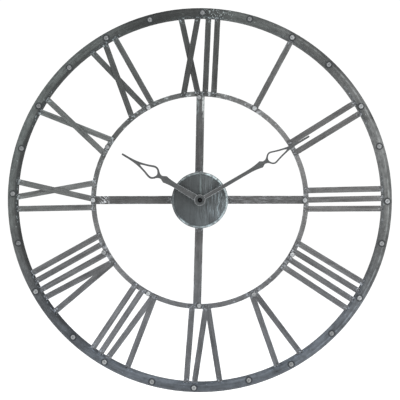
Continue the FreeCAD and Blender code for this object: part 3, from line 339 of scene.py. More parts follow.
def lay_bar_coordinates(obj, grey, edge):
    """Gives every flat bar its own length and width coordinates, so that the
    brushing runs along it.  Returns the bars' frames."""
    me = obj.data
    for layer in ("bar_ab", "bar_ts", "bar_size", "bar_tone"):
        me.uv_layers.new(name=layer, do_init=False)
    ab, ts, sz, tn = (me.uv_layers[k] for k in ("bar_ab", "bar_ts", "bar_size", "bar_tone"))
    bars = []
    for k, polys in enumerate(islands(me)):
        ids = sorted({i for p in polys for i in me.polygons[p].vertices})
        best = (0, None)
        for p in polys:
            vs = me.polygons[p].vertices
            for i in range(len(vs)):
                d = me.vertices[vs[i]].co - me.vertices[vs[i - 1]].co
                flat = Vector((d.x, 0, d.z))
                # diagonals of the triangulated faces are longer than the
                # sides: the longest edge is only a first guess, refined below
                if flat.length > best[0]:
                    best = (flat.length, flat.normalized())
        d0 = best[1]
        # refine: rotate until the width across is smallest
        pts = [Vector((me.vertices[i].co.x, 0, me.vertices[i].co.z)) for i in ids]
        lo_w, lo_a = 1e9, 0.0
        for step, span in ((0.004, 40), (0.0004, 20), (0.00004, 20)):
            base = lo_a
            for j in range(-span, span + 1):
                a = base + j * step
                n = Vector((-d0.z * math.cos(a) - d0.x * math.sin(a), 0,
                            d0.x * math.cos(a) - d0.z * math.sin(a)))
                q = [n.dot(pp) for pp in pts]
                w = max(q) - min(q)
                if w < lo_w:
                    lo_w, lo_a = w, a
        a = lo_a
        n = Vector((-d0.z * math.cos(a) - d0.x * math.sin(a), 0,
                    d0.x * math.cos(a) - d0.z * math.sin(a)))
        d = Vector((n.z, 0, -n.x))
        mid = sum(pts, Vector()) / len(pts)
        if d.dot(mid - Vector((AX.x, 0, AX.z))) < 0:
            d, n = -d, -n
        qa = [d.dot(pp) for pp in pts]
        qb = [n.dot(pp) for pp in pts]
        a0, a1, b0, b1 = min(qa), max(qa), min(qb), max(qb)
        bm_ = (b0 + b1) / 2
        seed = (k * 0.137 + sum(map(ord, obj.name)) * 0.0173) % 1.0
        own = lin(grey + 5.0 * math.sin(seed * 40.0))
        for p in polys:
            for li in me.polygons[p].loop_indices:
                co = me.vertices[me.loops[li].vertex_index].co
                pa, pb = d.dot(co) - a0, n.dot(co) - bm_
                ab.uv[li].vector = (pa, pb)
                ts.uv[li].vector = (pa / (a1 - a0), seed)
                sz.uv[li].vector = ((b1 - b0) / 2, a1 - a0)
                tn.uv[li].vector = (own, edge)
        bars.append({"origin": d * a0 + n * bm_, "d": d.copy(), "n": n.copy(),
                     "len": a1 - a0, "half": (b1 - b0) / 2, "obj": obj.name,
                     "ymin": min(me.vertices[i].co.y for i in ids),
                     "ymax": max(me.vertices[i].co.y for i in ids)})
    return bars


def set_mat(obj, mat):
    me = obj.data
    me.materials.clear()
    me.materials.append(mat)
    for p in me.polygons:
        p.material_index = 0


def soften(obj, width=0.0004, angle=30.0, segments=2):
    m = obj.modifiers.new("edge_break", "BEVEL")
    m.width = width
    m.segments = segments
    m.limit_method = "ANGLE"
    m.angle_limit = math.radians(angle)
    m.use_clamp_overlap = True
    m.harden_normals = False
    w = obj.modifiers.new("face_normals", "WEIGHTED_NORMAL")
    w.keep_sharp = True


# ------------------------------------------------------------- outer ring
# Greys clockwise from 12: partly the paint's own tone, partly painted shade and light, darker towards the top and
# lighter on the right.
RING_GREYS = [54, 86, 90, 85, 110, 124, 110, 94, 102, 96, 99, 93,
              87, 97, 101, 84, 84, 88, 91, 90, 92, 90, 81, 44]
INNER_GREYS = [106, 112, 130, 119, 108, 105, 107, 112, 132, 100, 92, 86]


def mat_outer_ring(gain, studs):
    t = Tree("outer_ring_paint")
    x, y, z = t.pos()
    r = t.m("SQRT", t.add(t.mul(x, x), t.mul(z, z)))
    ang = t.m("ARCTAN2", x, z)
    across = t.sub(r, RING_MID * 1000.0)
    cx = t.mul(t.m("SINE", ang), 108.0)
    cz = t.mul(t.m("COSINE", ang), 108.0)
    streak = t.noise(t.vec(t.mul(cx, 0.10), t.mul(across, 0.36), t.mul(cz, 0.10)), 1.0, 3.0, 0.55)
    blotch = t.noise(t.vec(t.mul(cx, 0.24), t.mul(across, 0.10), t.mul(cz, 0.24)), 1.0, 4.0, 0.6)
    fine = t.noise(t.vec(t.mul(x, 0.22), t.mul(y, 0.22), t.mul(z, 0.22)), 1.0, 3.0, 0.6)
    slow = t.noise(t.vec(t.mul(cx, 0.055), t.mul(across, 0.05), t.mul(cz, 0.055)), 1.0, 2.0, 0.5)
    f = t.m("ADD", 1.0, t.add(t.add(t.mul(t.sub(streak, 0.5), 1.25), t.mul(t.sub(slow, 0.5), 0.9)),
                              t.add(t.mul(t.sub(blotch, 0.5), 1.35), t.mul(t.sub(fine, 0.5), 0.80))))
    col = scaled(t, dial_curve(t, ang, RING_GREYS), t.mul(f, gain))
    # painted light and shade across the tube, lower left: the shoulder towards the dial is painted paler and the outer
    # shoulder darker
    lean = dial_curve(t, ang, [0, 0, 0, 0, 0, 0, 0, 0, 40, 85, 90, 60, 20, 122, 122, 158, 146, 136, 40, 0, 0, 0, 0, 0])
    flank_light_shade = t.m("MULTIPLY", lean, t.ramp(across, -7.0, 7.0, 1.0, -1.0))
    col = scaled(t, col, t.m("ADD", 1.0, flank_light_shade))
    # painted shade and light on the tube's flanks: on the left the flank that looks at the dial is painted dark
    # and the outer two thirds paler; at the bottom both shoulders are painted paler
    left = t.ramp(t.m("SINE", ang), -0.15, -0.85)
    low = t.mul(t.ramp(t.m("COSINE", ang), -0.25, -0.80), t.sub(1.0, t.mul(left, 0.7)))
    inner_flank_light_shade = t.ramp(across, -1.0, -5.5)
    outer_flank_light = t.ramp(across, 0.5, 5.0)
    col = scaled(t, col, t.sub(1.0, t.mul(inner_flank_light_shade, t.sub(t.add(t.mul(left, 0.72), 0.0), t.mul(low, 0.45)))))
    col = scaled(t, col, t.m("ADD", 1.0, t.mul(outer_flank_light, t.add(t.mul(left, 0.34), t.mul(low, 0.06)))))
    # painted shade along both feet of the channel, where the tube turns away against the wall
    rim = t.ramp(y, 0.4, 2.8, 1.0, 0.0)
    col = t.mix(t.mul(rim, 0.60), col, (0.030, 0.034, 0.038))
    # painted highlight along the outer shoulder, on the right, broken into patches
    right = t.ramp(t.m("SINE", ang), 0.35, 0.85)
    line = t.mul(t.ramp(across, 1.2, 2.6), t.ramp(across, 3.6, 5.2, 1.0, 0.0))
    col = t.mix(t.mul(t.mul(line, right), t.ramp(blotch, 0.40, 0.62, 0.10, 0.42)), col, (0.30, 0.31, 0.31))
    # paint burnt where the numerals are welded: dark with bare metal dots
    inner = t.mul(t.ramp(across, -8.8, -7.6), t.ramp(across, -5.4, -4.0, 1.0, 0.0))
    near_num = t.ramp(t.m("ABSOLUTE", t.m("SUBTRACT", t.m("FRACT", t.m("DIVIDE", t.add(ang, math.radians(375.0)),
                      math.radians(30.0))), 0.5)), 0.20, 0.34, 1.0, 0.0)
    dots = t.noise(t.vec(t.mul(x, 0.21), t.mul(y, 0.30), t.mul(z, 0.21)), 1.0, 3.0, 0.6)
    burn = t.mul(t.mul(inner, near_num), t.ramp(z, 330.0, 200.0, 0.55, 1.0))
    col = t.mix(t.mul(burn, 0.42), col, (0.028, 0.032, 0.036))
    col = t.mix(t.mul(t.mul(burn, t.ramp(dots, 0.56, 0.66)), 0.50), col, (0.30, 0.315, 0.335))
    # shadowed groove round each stud
    stud_shadow = t.ramp(t.nearest(x, z, studs), 5.4, 8.0, 1.0, 0.0)
    col = t.mix(t.mul(stud_shadow, 0.86), col, (0.012, 0.014, 0.016))
    # flaked paint just after 12, and here and there round the ring
    chip = t.noise(t.vec(t.mul(x, 0.24), t.mul(y, 0.24), t.mul(z, 0.24)), 1.0, 4.0, 0.7)
    after12 = t.mul(t.ramp(ang, -0.01, 0.03), t.ramp(ang, 0.13, 0.26, 1.0, 0.0))
    chips = t.ramp(t.add(chip, t.mul(after12, 0.105)), 0.665, 0.70)
    col = t.mix(t.mul(chips, 0.60), col, (0.36, 0.37, 0.38))
    col = tinted(t, col, x, z)
    col = t.mix(1.0, col, t.mix(t.ramp(z, -100.0, -290.0), (0.965, 1.0, 0.995), (0.90, 0.992, 1.085)), "MULTIPLY")
    rough = t.m("ADD", t.mul(streak, 0.22), t.add(0.42, t.mul(fine, 0.14)), clamp=True)
    h = t.add(t.mul(fine, 0.9), t.add(t.mul(streak, 0.4), t.mul(chips, -0.5)))
    return t.finish(col, rough, 0.12, t.bump(h, 0.4, 0.0004), 0.35)


def mat_inner_ring(gain, studs):
    t = Tree("inner_ring_paint")
    x, y, z = t.pos()
    r = t.m("SQRT", t.add(t.mul(x, x), t.mul(z, z)))
    ang = t.m("ARCTAN2", x, z)
    across = t.sub(r, INNER_OUT * 1000.0 - 4.6)
    cx = t.mul(t.m("SINE", ang), 62.0)
    cz = t.mul(t.m("COSINE", ang), 62.0)
    streak = t.noise(t.vec(t.mul(cx, 0.12), t.mul(across, 0.55), t.mul(cz, 0.12)), 1.0, 3.0, 0.55)
    blotch = t.noise(t.vec(t.mul(cx, 0.35), t.mul(across, 0.1), t.mul(cz, 0.35)), 1.0, 4.0, 0.6)
    f = t.m("ADD", 1.0, t.add(t.mul(t.sub(streak, 0.5), 0.8), t.mul(t.sub(blotch, 0.5), 1.0)))
    col = scaled(t, dial_curve(t, ang, INNER_GREYS), t.mul(f, gain))
    # paler edges, broken up: worn paint and painted highlight
    dist = t.sub(4.6, t.m("ABSOLUTE", across))
    edge = t.mul(t.ramp(dist, 0.2, 1.7, 1.0, 0.0), t.ramp(blotch, 0.46, 0.66))
    col = t.mix(t.mul(edge, 0.45), col, (0.30, 0.31, 0.32))
    near = t.nearest(x, z, studs)
    # painted shadow round each stud
    stud_shadow = t.ramp(near, 4.6, 6.4, 1.0, 0.0)
    col = t.mix(t.mul(stud_shadow, 0.62), col, (0.020, 0.023, 0.026))
    rag = t.noise(t.vec(t.mul(x, 0.16), 8.0, t.mul(z, 0.16)), 1.0, 3.0, 0.65)
    patch = t.ramp(t.nearest(x, z, [(16.8, 193.5), (-90.0, 172.0), (-96.0, 168.0)]), 2.6, 4.6, 1.0, 0.0)
    col = t.mix(t.mul(patch, t.ramp(rag, 0.36, 0.52, 0.35, 0.9)), col, (0.42, 0.43, 0.44))
    marks = t.mul(t.mul(t.ramp(x, 24.0, 30.0), t.ramp(x, 48.0, 62.0, 1.0, 0.0)), t.ramp(z, 150.0, 160.0))
    col = t.mix(t.mul(t.mul(marks, t.ramp(rag, 0.50, 0.60)), 0.75), col, (0.33, 0.34, 0.34))
    worn = t.mul(t.mul(t.ramp(near, 6.0, 8.0), t.ramp(near, 10.0, 22.0, 1.0, 0.0)), t.ramp(rag, 0.46, 0.60))
    worn = t.mul(worn, t.sub(1.0, t.mul(t.ramp(z, 150.0, 175.0), t.ramp(x, 8.0, 0.0))))
    col = t.mix(t.mul(worn, 0.60), col, (0.32, 0.335, 0.35))
    spot = t.noise(t.vec(t.mul(x, 0.075), 3.0, t.mul(z, 0.075)), 1.0, 4.0, 0.75)
    top = t.ramp(z, -80.0, 120.0, 0.0, 0.045)
    col = t.mix(t.mul(t.ramp(t.add(spot, top), 0.600, 0.690), 0.75), col, (0.36, 0.37, 0.38))
    col = tinted(t, col, x, z)
    return t.finish(col, t.m("ADD", t.mul(streak, 0.2), 0.44), 0.12,
                    t.bump(t.add(streak, blotch), 0.3, 0.00025), 0.35)


def mat_hub(gain):
    t = Tree("hub_paint")
    x, y, z = t.pos()
    r = t.m("SQRT", t.add(t.mul(x, x), t.mul(z, z)))
    a = t.m("ARCTAN2", x, z)
    # brush marks that run down the disc and wander, strongest on the right
    wander = t.noise(t.vec(t.mul(x, 0.035), 2.0, t.mul(z, 0.030)), 1.0, 3.0, 0.5)
    xw = t.add(x, t.mul(t.sub(wander, 0.5), 17.0))
    s1 = t.noise(t.vec(t.mul(xw, 0.17), 0.0, t.mul(z, 0.016)), 1.0, 3.0, 0.55)
    s2 = t.noise(t.vec(t.mul(xw, 0.42), 5.0, t.mul(z, 0.028)), 1.0, 3.0, 0.6)
    soft = t.noise(t.vec(t.mul(x, 0.035), 9.0, t.mul(z, 0.025)), 1.0, 2.0, 0.5)
    right = t.ramp(x, -16.0, 22.0, 0.40, 1.0)
    f = t.m("ADD", 1.0, t.add(t.mul(t.mul(t.sub(s1, 0.5), 1.7), right),
                              t.add(t.mul(t.mul(t.sub(s2, 0.5), 2.3), right),
                                    t.mul(t.sub(soft, 0.5), 0.9))))
    # painted shade and light across the disc: darker on the left, lighter to the right
    side = t.ramp(x, -34.0, 10.0, lin(73), lin(91))
    col = scaled(t, t.vec(side, side, side), t.mul(f, gain))
    # ridges of bare metal on the brush marks
    ridge = t.mul(t.ramp(s2, 0.575, 0.66), t.ramp(x, 6.0, 26.0))
    col = t.mix(t.mul(ridge, 0.60), col, (0.30, 0.33, 0.35))
    mid = t.mul(t.ramp(t.m("ABSOLUTE", t.sub(x, 1.5)), 0.4, 2.6, 1.0, 0.0), t.ramp(z, 6.0, 22.0))
    col = t.mix(t.mul(mid, t.ramp(s2, 0.42, 0.60, 0.06, 0.30)), col, (0.27, 0.30, 0.29))
    # flank of the rim catches light low on the right, in wavering lines
    wave = t.noise(t.vec(t.mul(xw, 0.30), 7.0, t.mul(z, 0.035)), 1.0, 3.0, 0.5)
    crest = t.mul(t.ramp(t.m("ABSOLUTE", t.sub(wave, 0.5)), 0.0, 0.022, 1.0, 0.0),
                  t.mul(t.ramp(x, 24.0, 32.0), t.ramp(z, 22.0, 8.0)))
    col = t.mix(t.mul(crest, 0.55), col, (0.42, 0.45, 0.46))
    # rolled rim: thin bright line, broken, nearly gone on the left; it is a painted highlight with worn paint
    nz = t.noise(t.vec(t.mul(x, 0.085), 4.0, t.mul(z, 0.085)), 1.0, 4.0, 0.65)
    amount = t.mul(dial_curve(t, a, [98, 230, 178, 177, 136, 174, 121, 156, 114, 72, 60, 166]),
                   t.ramp(nz, 0.38, 0.60, 0.12, 1.35))
    rim_highlight_band = t.mul(t.ramp(r, 46.2, 47.4), t.ramp(r, 49.6, 50.8, 1.0, 0.10))
    col = t.mix(t.m("MULTIPLY", rim_highlight_band, amount, clamp=True), col, (0.60, 0.625, 0.625))
    # painted shade in the groove inside the rim
    groove = t.mul(t.ramp(r, 44.6, 45.8), t.ramp(r, 46.0, 47.0, 1.0, 0.0))
    col = t.mix(t.mul(groove, 0.30), col, (0.035, 0.040, 0.045))
    # painted shade down the cup's side wall
    wall = t.ramp(y, 20.0, 23.6, 1.0, 0.0)
    col = t.mix(t.mul(wall, 0.55), col, (0.060, 0.066, 0.070))
    # bluish-green cast over the disc; painted light makes it lighter and bluer towards the bottom
    low = t.ramp(z, 5.0, -35.0)
    col = t.mix(1.0, col, (0.92, 1.03, 1.06), "MULTIPLY")
    col = t.mix(low, col, t.mix(1.0, col, (1.07, 1.09, 1.12), "MULTIPLY"))
    rough = t.m("ADD", t.mul(s2, 0.22), 0.38)
    return t.finish(col, rough, 0.15, t.bump(t.add(t.mul(s1, 0.5), s2), 0.35, 0.0003), 0.38)


def lay_stud_coordinates(obj, greys):
    """Distance from each stud's own axis, and a grey of its own by position."""
    me = obj.data
    me.uv_layers.new(name="stud_rs", do_init=False)
    me.uv_layers.new(name="stud_xz", do_init=False)
    rs, xz = me.uv_layers["stud_rs"], me.uv_layers["stud_xz"]
    centres = []
    for k, polys in enumerate(islands(me)):
        ids = {i for p in polys for i in me.polygons[p].vertices}
        xs = [me.vertices[i].co.x for i in ids]
        zs = [me.vertices[i].co.z for i in ids]
        cx, cz = (min(xs) + max(xs)) / 2, (min(zs) + max(zs)) / 2
        turn = math.atan2(cx - AX.x, cz - AX.z) / (2 * math.pi)
        shade = lin(greys[round(turn * len(greys)) % len(greys)])
        if max(xs) - min(xs) > 0.006:
            centres.append(((cx - AX.x) * 1000.0, (cz - AX.z) * 1000.0))
        for p in polys:
            for li in me.polygons[p].loop_indices:
                co = me.vertices[me.loops[li].vertex_index].co
                rs.uv[li].vector = (math.hypot(co.x - cx, co.z - cz), shade)
                xz.uv[li].vector = (co.x - cx, co.z - cz)
    return centres


def mat_studs(name, gain, core_level):
    """Domed head: darker middle where paint is left, a paler ring of worn paint and painted highlight, and painted
    shade round its foot.
    """
    t = Tree(name)
    r, shade = t.uv("stud_rs")
    sx, sz = t.uv("stud_xz")
    x, y, z = t.pos()
    rm = t.mul(r, 1000.0)
    n1 = t.noise(t.vec(t.mul(x, 0.40), t.mul(y, 0.40), t.mul(z, 0.40)), 1.0, 3.0, 0.6)
    f = t.mul(t.m("ADD", 1.0, t.mul(t.sub(n1, 0.5), 1.5)), gain)
    worn = scaled(t, t.vec(shade, shade, shade), f)
    # paler ring round a darker middle: worn paint and painted highlight
    core_r = t.ramp(rm, 1.2, 2.6)
    col = scaled(t, worn, t.add(core_level, t.mul(core_r, 1.0 - core_level)))
    # painted highlight: a small pale glint just right of the middle
    dx, dz = t.sub(t.mul(sx, 1000.0), 0.5), t.add(t.mul(sz, 1000.0), 0.2)
    spot = t.ramp(t.m("SQRT", t.add(t.mul(dx, dx), t.mul(dz, dz))), 0.3, 1.0, 1.0, 0.0)
    col = t.mix(t.mul(spot, 0.35), col, (0.34, 0.36, 0.37))
    # painted shade round the foot of the dome
    col = t.mix(t.ramp(rm, 3.8, 4.5, 0.0, 0.90), col, (0.014, 0.016, 0.018))
    col = t.mix(1.0, col, (0.965, 1.0, 1.02), "MULTIPLY")
    return t.finish(col, t.m("ADD", t.mul(n1, 0.25), 0.30), 0.25, t.bump(n1, 0.4, 0.0003), 0.45)


def mat_weld(name):
    """Bead metal: sooty and painted over at the outer ring, barer near the hub."""
    t = Tree(name)
    x, y, z = t.pos()
    r = t.m("SQRT", t.add(t.mul(x, x), t.mul(z, z)))
    out = t.ramp(r, 240.0, 300.0)
    n1 = t.noise(t.vec(t.mul(x, 0.34), t.mul(y, 0.34), t.mul(z, 0.34)), 1.0, 3.0, 0.6)
    bright = t.mix(out, (0.24, 0.255, 0.27), (0.165, 0.176, 0.190))
    dark = t.mix(out, (0.060, 0.065, 0.070), (0.016, 0.018, 0.021))
    col = t.mix(t.ramp(t.sub(n1, t.mul(out, 0.045)), 0.40, 0.56), dark, bright)
    col = tinted(t, col, x, z)
    return t.finish(col, t.m("ADD", t.mul(n1, 0.3), 0.34), 0.2, t.bump(n1, 0.5, 0.0004), 0.4)


def mat_hand(name, angle_deg, grey, gain):
    """Brushed along the hand; angle is clockwise from 12."""
    t = Tree(name)
    x, y, z = t.pos()
    sn, cs = math.sin(math.radians(angle_deg)), math.cos(math.radians(angle_deg))
    along = t.add(t.mul(x, sn), t.mul(z, cs))
    across = t.sub(t.mul(x, cs), t.mul(z, sn))
    streak = t.noise(t.vec(t.mul(along, 0.035), t.mul(across, 0.60), 1.0), 1.0, 3.0, 0.6)
    blotch = t.noise(t.vec(t.mul(along, 0.07), t.mul(across, 0.15), 5.0), 1.0, 4.0, 0.6)
    f = t.m("ADD", 1.0, t.add(t.mul(t.sub(streak, 0.5), 0.6), t.mul(t.sub(blotch, 0.5), 0.7)))
    g = lin(grey)
    col = scaled(t, (g * 0.96, g * 1.0, g * 1.015), t.mul(f, gain))
    # painted highlight along the hand's edges, mostly where it lies over the hub
    bev = t.node("ShaderNodeBevel", samples=6)
    bev.inputs["Radius"].default_value = 0.0016
    geo = t.node("ShaderNodeNewGeometry")
    dp = t.node("ShaderNodeVectorMath", operation="DOT_PRODUCT")
    t.put(dp.inputs[0], bev.outputs[0])
    t.put(dp.inputs[1], geo.outputs["Normal"])
    r = t.m("SQRT", t.add(t.mul(x, x), t.mul(z, z)))
    inside = t.ramp(r, 44.0, 58.0, 1.0, 0.16)
    edge = t.mul(t.mul(t.ramp(dp.outputs["Value"], 0.86, 0.995, 1.0, 0.0), t.ramp(blotch, 0.30, 0.52, 0.35, 1.0)), inside)
    col = t.mix(t.mul(edge, 0.85), col, (0.36, 0.38, 0.39))
    return t.finish(col, t.m("ADD", t.mul(streak, 0.22), 0.38), 0.15,
                    t.bump(t.add(streak, t.mul(blotch, 0.6)), 0.3, 0.00025), 0.38)


def mat_plain(name, base, alt, rough, metallic=0.0, scale=0.4, bump=0.2, dist=0.0001,
              spec=0.5, stretch=(1.0, 1.0, 1.0), **extra):
    """Moulded or turned surface: two close tones, fine grain, varied gloss."""
    t = Tree(name)
    x, y, z = t.pos()
    v = t.vec(t.mul(x, stretch[0]), t.mul(y, stretch[1]), t.mul(z, stretch[2]))
    a = t.noise(v, scale, 4.0, 0.6)
    b = t.noise(v, scale * 9.0, 3.0, 0.6)
    col = t.mix(t.ramp(a, 0.35, 0.65), base, alt)
    r = t.m("ADD", t.mul(t.sub(b, 0.5), 0.18), t.add(rough, t.mul(t.sub(a, 0.5), 0.15)), clamp=True)
    n = t.bump(t.add(b, t.mul(a, 0.4)), bump, dist)
    return t.finish(col, r, metallic, n, spec, **extra)


def mat_nut():
    """Blackened round nut: dark face, with painted shade darkening the mouth and a painted highlight on the top of its
    edge.
    """
    t = Tree("hand_nut_metal")
    x, y, z = t.pos()
    r = t.m("SQRT", t.add(t.mul(x, x), t.mul(z, z)))
    n1 = t.noise(t.vec(t.mul(x, 0.5), t.mul(y, 0.5), t.mul(z, 0.5)), 1.0, 3.0, 0.6)
    col = t.mix(t.ramp(n1, 0.35, 0.65), (0.030, 0.034, 0.035), (0.062, 0.068, 0.070))
    # painted shade in the mouth of the nut
    col = t.mix(t.ramp(r, 3.6, 5.0, 1.0, 0.0), col, (0.0015, 0.0015, 0.0015))
    # painted highlight on the upper part of the outer edge
    col = t.mix(t.mul(t.ramp(r, 5.6, 6.1), t.ramp(z, -2.0, 4.0)), col, (0.075, 0.082, 0.082))
    return t.finish(col, t.m("ADD", t.mul(n1, 0.2), 0.60), 0.0, t.bump(n1, 0.3, 0.0002), 0.06)


# ================================================================ dressing
G = 0.62                                   # paint level against the lighting
M_BAR = mat_bar("flat_bar_paint", G)
M_SPOKE = mat_bar("spoke_paint", G, 1.2, 1.25, 0.5, 0.7, True)
M_HUB = mat_hub(G)
M_STUD = mat_studs("ring_stud_paint", 0.74, 0.52)
M_STUD_IN = mat_studs("dial_stud_paint", 0.70, 0.85)
M_WELD = mat_weld("weld_metal")

set_mat(NODES["hub_cup"], M_HUB)
# One grey per stud by position: partly the metal's own tone, partly painted shade and light; round the outer ring
# darker towards the upper left.
RING_STUDS = lay_stud_coordinates(NODES["outer_ring_studs"],
                                  [130, 122, 166, 138, 164, 152, 170, 154, 174, 138, 146, 146,
                                   166, 148, 164, 152, 156, 122, 136, 128, 116, 126, 134, 134])
DIAL_STUDS = lay_stud_coordinates(NODES["inner_ring_studs"],
                                  [152, 182, 140, 180, 192, 154, 164, 184, 146, 180, 146, 182])
M_RING = mat_outer_ring(G, RING_STUDS)
M_INNER = mat_inner_ring(G, DIAL_STUDS)
set_mat(NODES["outer_ring"], M_RING)
set_mat(NODES["inner_ring"], M_INNER)
set_mat(NODES["outer_ring_studs"], M_STUD)
set_mat(NODES["inner_ring_studs"], M_STUD_IN)

# One grey per numeral: partly the paint's own tone, partly painted shade and light, darker towards the top and lighter
# on the right.
BAR_GREYS = {1: 100, 2: 100, 3: 114, 4: 108, 5: 102, 6: 97, 7: 107, 8: 98, 9: 102, 10: 104, 11: 80, 12: 69}
BARS = {}
for k in range(1, 13):
    name = "numeral_%d" % k
    BARS[name] = lay_bar_coordinates(NODES[name], BAR_GREYS[k], {12: 0.5, 1: 1.3, 6: 1.0, 5: 0.8}.get(k, 0.6))
    set_mat(NODES[name], M_BAR)
    soften(NODES[name], 0.00045)
# Spoke greys: partly the paint's own tone, partly painted shade and light, darker at the top and left, lighter at the
# bottom.
for name, g in (("spoke_top", 85), ("spoke_right", 91), ("spoke_bottom", 97), ("spoke_left", 83)):
    BARS[name] = lay_bar_coordinates(NODES[name], g, 0.9)
    set_mat(NODES[name], M_SPOKE)
    soften(NODES[name], 0.0004)
BARS["wall_hanger"] = lay_bar_coordinates(NODES["wall_hanger"], 95, 0.8)
set_mat(NODES["wall_hanger"], M_SPOKE)
soften(NODES["inner_ring"], 0.00035)

mh_lo, mh_hi = [Vector(v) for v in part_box("minute_hand")]
hh_lo, hh_hi = [Vector(v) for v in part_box("hour_hand")]


def tip_angle(name):
    far, ang = 0.0, 0.0
    for v in NODES[name].data.vertices:
        dx, dz = v.co.x - AX.x, v.co.z - AX.z
        if dx * dx + dz * dz > far:
            far = dx * dx + dz * dz
            ang = math.degrees(math.atan2(dx, dz))
    return ang


set_mat(NODES["minute_hand"], mat_hand("minute_hand_paint", tip_angle("minute_hand"), 88, G))
set_mat(NODES["hour_hand"], mat_hand("hour_hand_paint", tip_angle("hour_hand"), 88, G))
for name in ("minute_hand", "hour_hand"):
    soften(NODES[name], 0.00028)

GREY = lambda v: (v, v * 1.03, v * 1.05)
set_mat(NODES["hand_nut"], mat_nut())
soften(NODES["hand_nut"], 0.00025)
# The arbor end is painted near-black: painted shade at the bottom of the nut's mouth.
M_ARBOR_HOLE_SHADE = mat_plain("arbor_metal", (0.001, 0.001, 0.001), (0.003, 0.003, 0.003), 0.9, 0.0, 0.7, 0.0)
set_mat(NODES["minute_arbor"], M_ARBOR_HOLE_SHADE)
set_mat(NODES["stem_nut"], mat_plain("stem_nut_brass", (0.52, 0.36, 0.13), (0.66, 0.48, 0.20), 0.30, 0.9, 0.6, 0.25))
set_mat(NODES["stem_washer"], mat_plain("stem_washer_brass", (0.50, 0.35, 0.13), (0.62, 0.45, 0.19), 0.36, 0.9, 0.6, 0.25))
set_mat(NODES["gasket"], mat_plain("gasket_rubber", (0.012, 0.012, 0.012), (0.022, 0.022, 0.022), 0.75, 0.0, 0.8, 0.3))
M_CASE = mat_plain("case_plastic", (0.010, 0.010, 0.011), (0.018, 0.018, 0.019), 0.46, 0.0, 0.9, 0.35, 0.00012)
for name in ("movement_case", "movement_rear_cover"):
    set_mat(NODES[name], M_CASE)
    soften(NODES[name], 0.0004)
set_mat(NODES["train_plate"], mat_plain("train_plate_plastic", (0.06, 0.06, 0.062), (0.08, 0.08, 0.082), 0.5, 0.0, 0.9, 0.2))
set_mat(NODES["circuit_board"], mat_plain("board_laminate", (0.010, 0.055, 0.022), (0.016, 0.085, 0.034), 0.35, 0.0, 0.5, 0.15))
set_mat(NODES["quartz_crystal"], mat_plain("crystal_can", (0.62, 0.62, 0.61), (0.74, 0.74, 0.73), 0.22, 1.0, 0.8, 0.1))
for name in ("stator_plate", "coil_core"):
    set_mat(NODES[name], mat_plain(name + "_iron", (0.34, 0.33, 0.32), (0.46, 0.45, 0.43), 0.4, 0.9, 0.6, 0.15,
                                   stretch=(0.2, 1.0, 1.0)))
set_mat(NODES["coil_bobbin"], mat_plain("bobbin_plastic", (0.55, 0.53, 0.46), (0.62, 0.60, 0.53), 0.45, 0.0, 0.8, 0.1))


def mat_winding():
    t = Tree("winding_copper")
    x, y, z = t.pos()
    turns = t.m("SINE", t.mul(x, 42.0))
    n1 = t.noise(t.vec(x, y, z), 0.8, 3.0, 0.6)
    col = t.mix(t.ramp(turns, -1.0, 1.0), (0.20, 0.055, 0.018), (0.55, 0.22, 0.085))
    return t.finish(t.mix(t.mul(n1, 0.4), col, (0.36, 0.12, 0.05)),
                    t.m("ADD", t.mul(n1, 0.2), 0.22), 0.9, t.bump(turns, 0.4, 0.00005), 0.5)


set_mat(NODES["coil_winding"], mat_winding())
for name in ("battery_contact_positive", "battery_contact_negative"):
    set_mat(NODES[name], mat_plain(name + "_plate", (0.58, 0.57, 0.54), (0.72, 0.71, 0.68), 0.25, 1.0, 0.7, 0.12))
M_GEAR = mat_plain("gear_acetal", (0.62, 0.60, 0.53), (0.70, 0.68, 0.61), 0.42, 0.0, 0.7, 0.08, Subsurface_Weight=0.05)
for name in ("hour_wheel", "motion_wheel", "centre_wheel", "third_wheel", "fourth_wheel", "intermediate_wheel"):
    set_mat(NODES[name], M_GEAR)
set_mat(NODES["rotor"], mat_plain("rotor_magnet", (0.035, 0.035, 0.037), (0.06, 0.06, 0.063), 0.38, 0.4, 0.9, 0.2))
set_mat(NODES["setting_knob"], mat_plain("knob_plastic", (0.014, 0.014, 0.015), (0.024, 0.024, 0.026), 0.34, 0.0, 0.9, 0.2))
soften(NODES["setting_knob"], 0.00025)
bat_lo, bat_hi = [Vector(v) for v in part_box("battery")]


def mat_battery():
    """Plain sleeve in two colours over a plated can: no print."""
    t = Tree("battery_jacket")
    x, y, z = t.pos()
    x0, x1 = (bat_lo.x - AX.x) * 1000.0, (bat_hi.x - AX.x) * 1000.0
    g = t.noise(t.vec(t.mul(x, 0.4), t.mul(y, 0.4), t.mul(z, 0.4)), 1.0, 3.0, 0.5)
    col = t.mix(t.ramp(x, x1 - 15.5, x1 - 15.1), (0.012, 0.030, 0.060), (0.42, 0.30, 0.10))
    col = t.mix(t.m("GREATER_THAN", x, x1 - 2.0), col, (0.66, 0.65, 0.62))
    col = t.mix(t.m("LESS_THAN", x, x0 + 0.9), col, (0.66, 0.65, 0.62))
    return t.finish(t.mix(t.mul(g, 0.25), col, (0.06, 0.06, 0.06)),
                    t.m("ADD", t.mul(g, 0.12), 0.20), 0.35, None, 0.5)


set_mat(NODES["battery"], mat_battery())


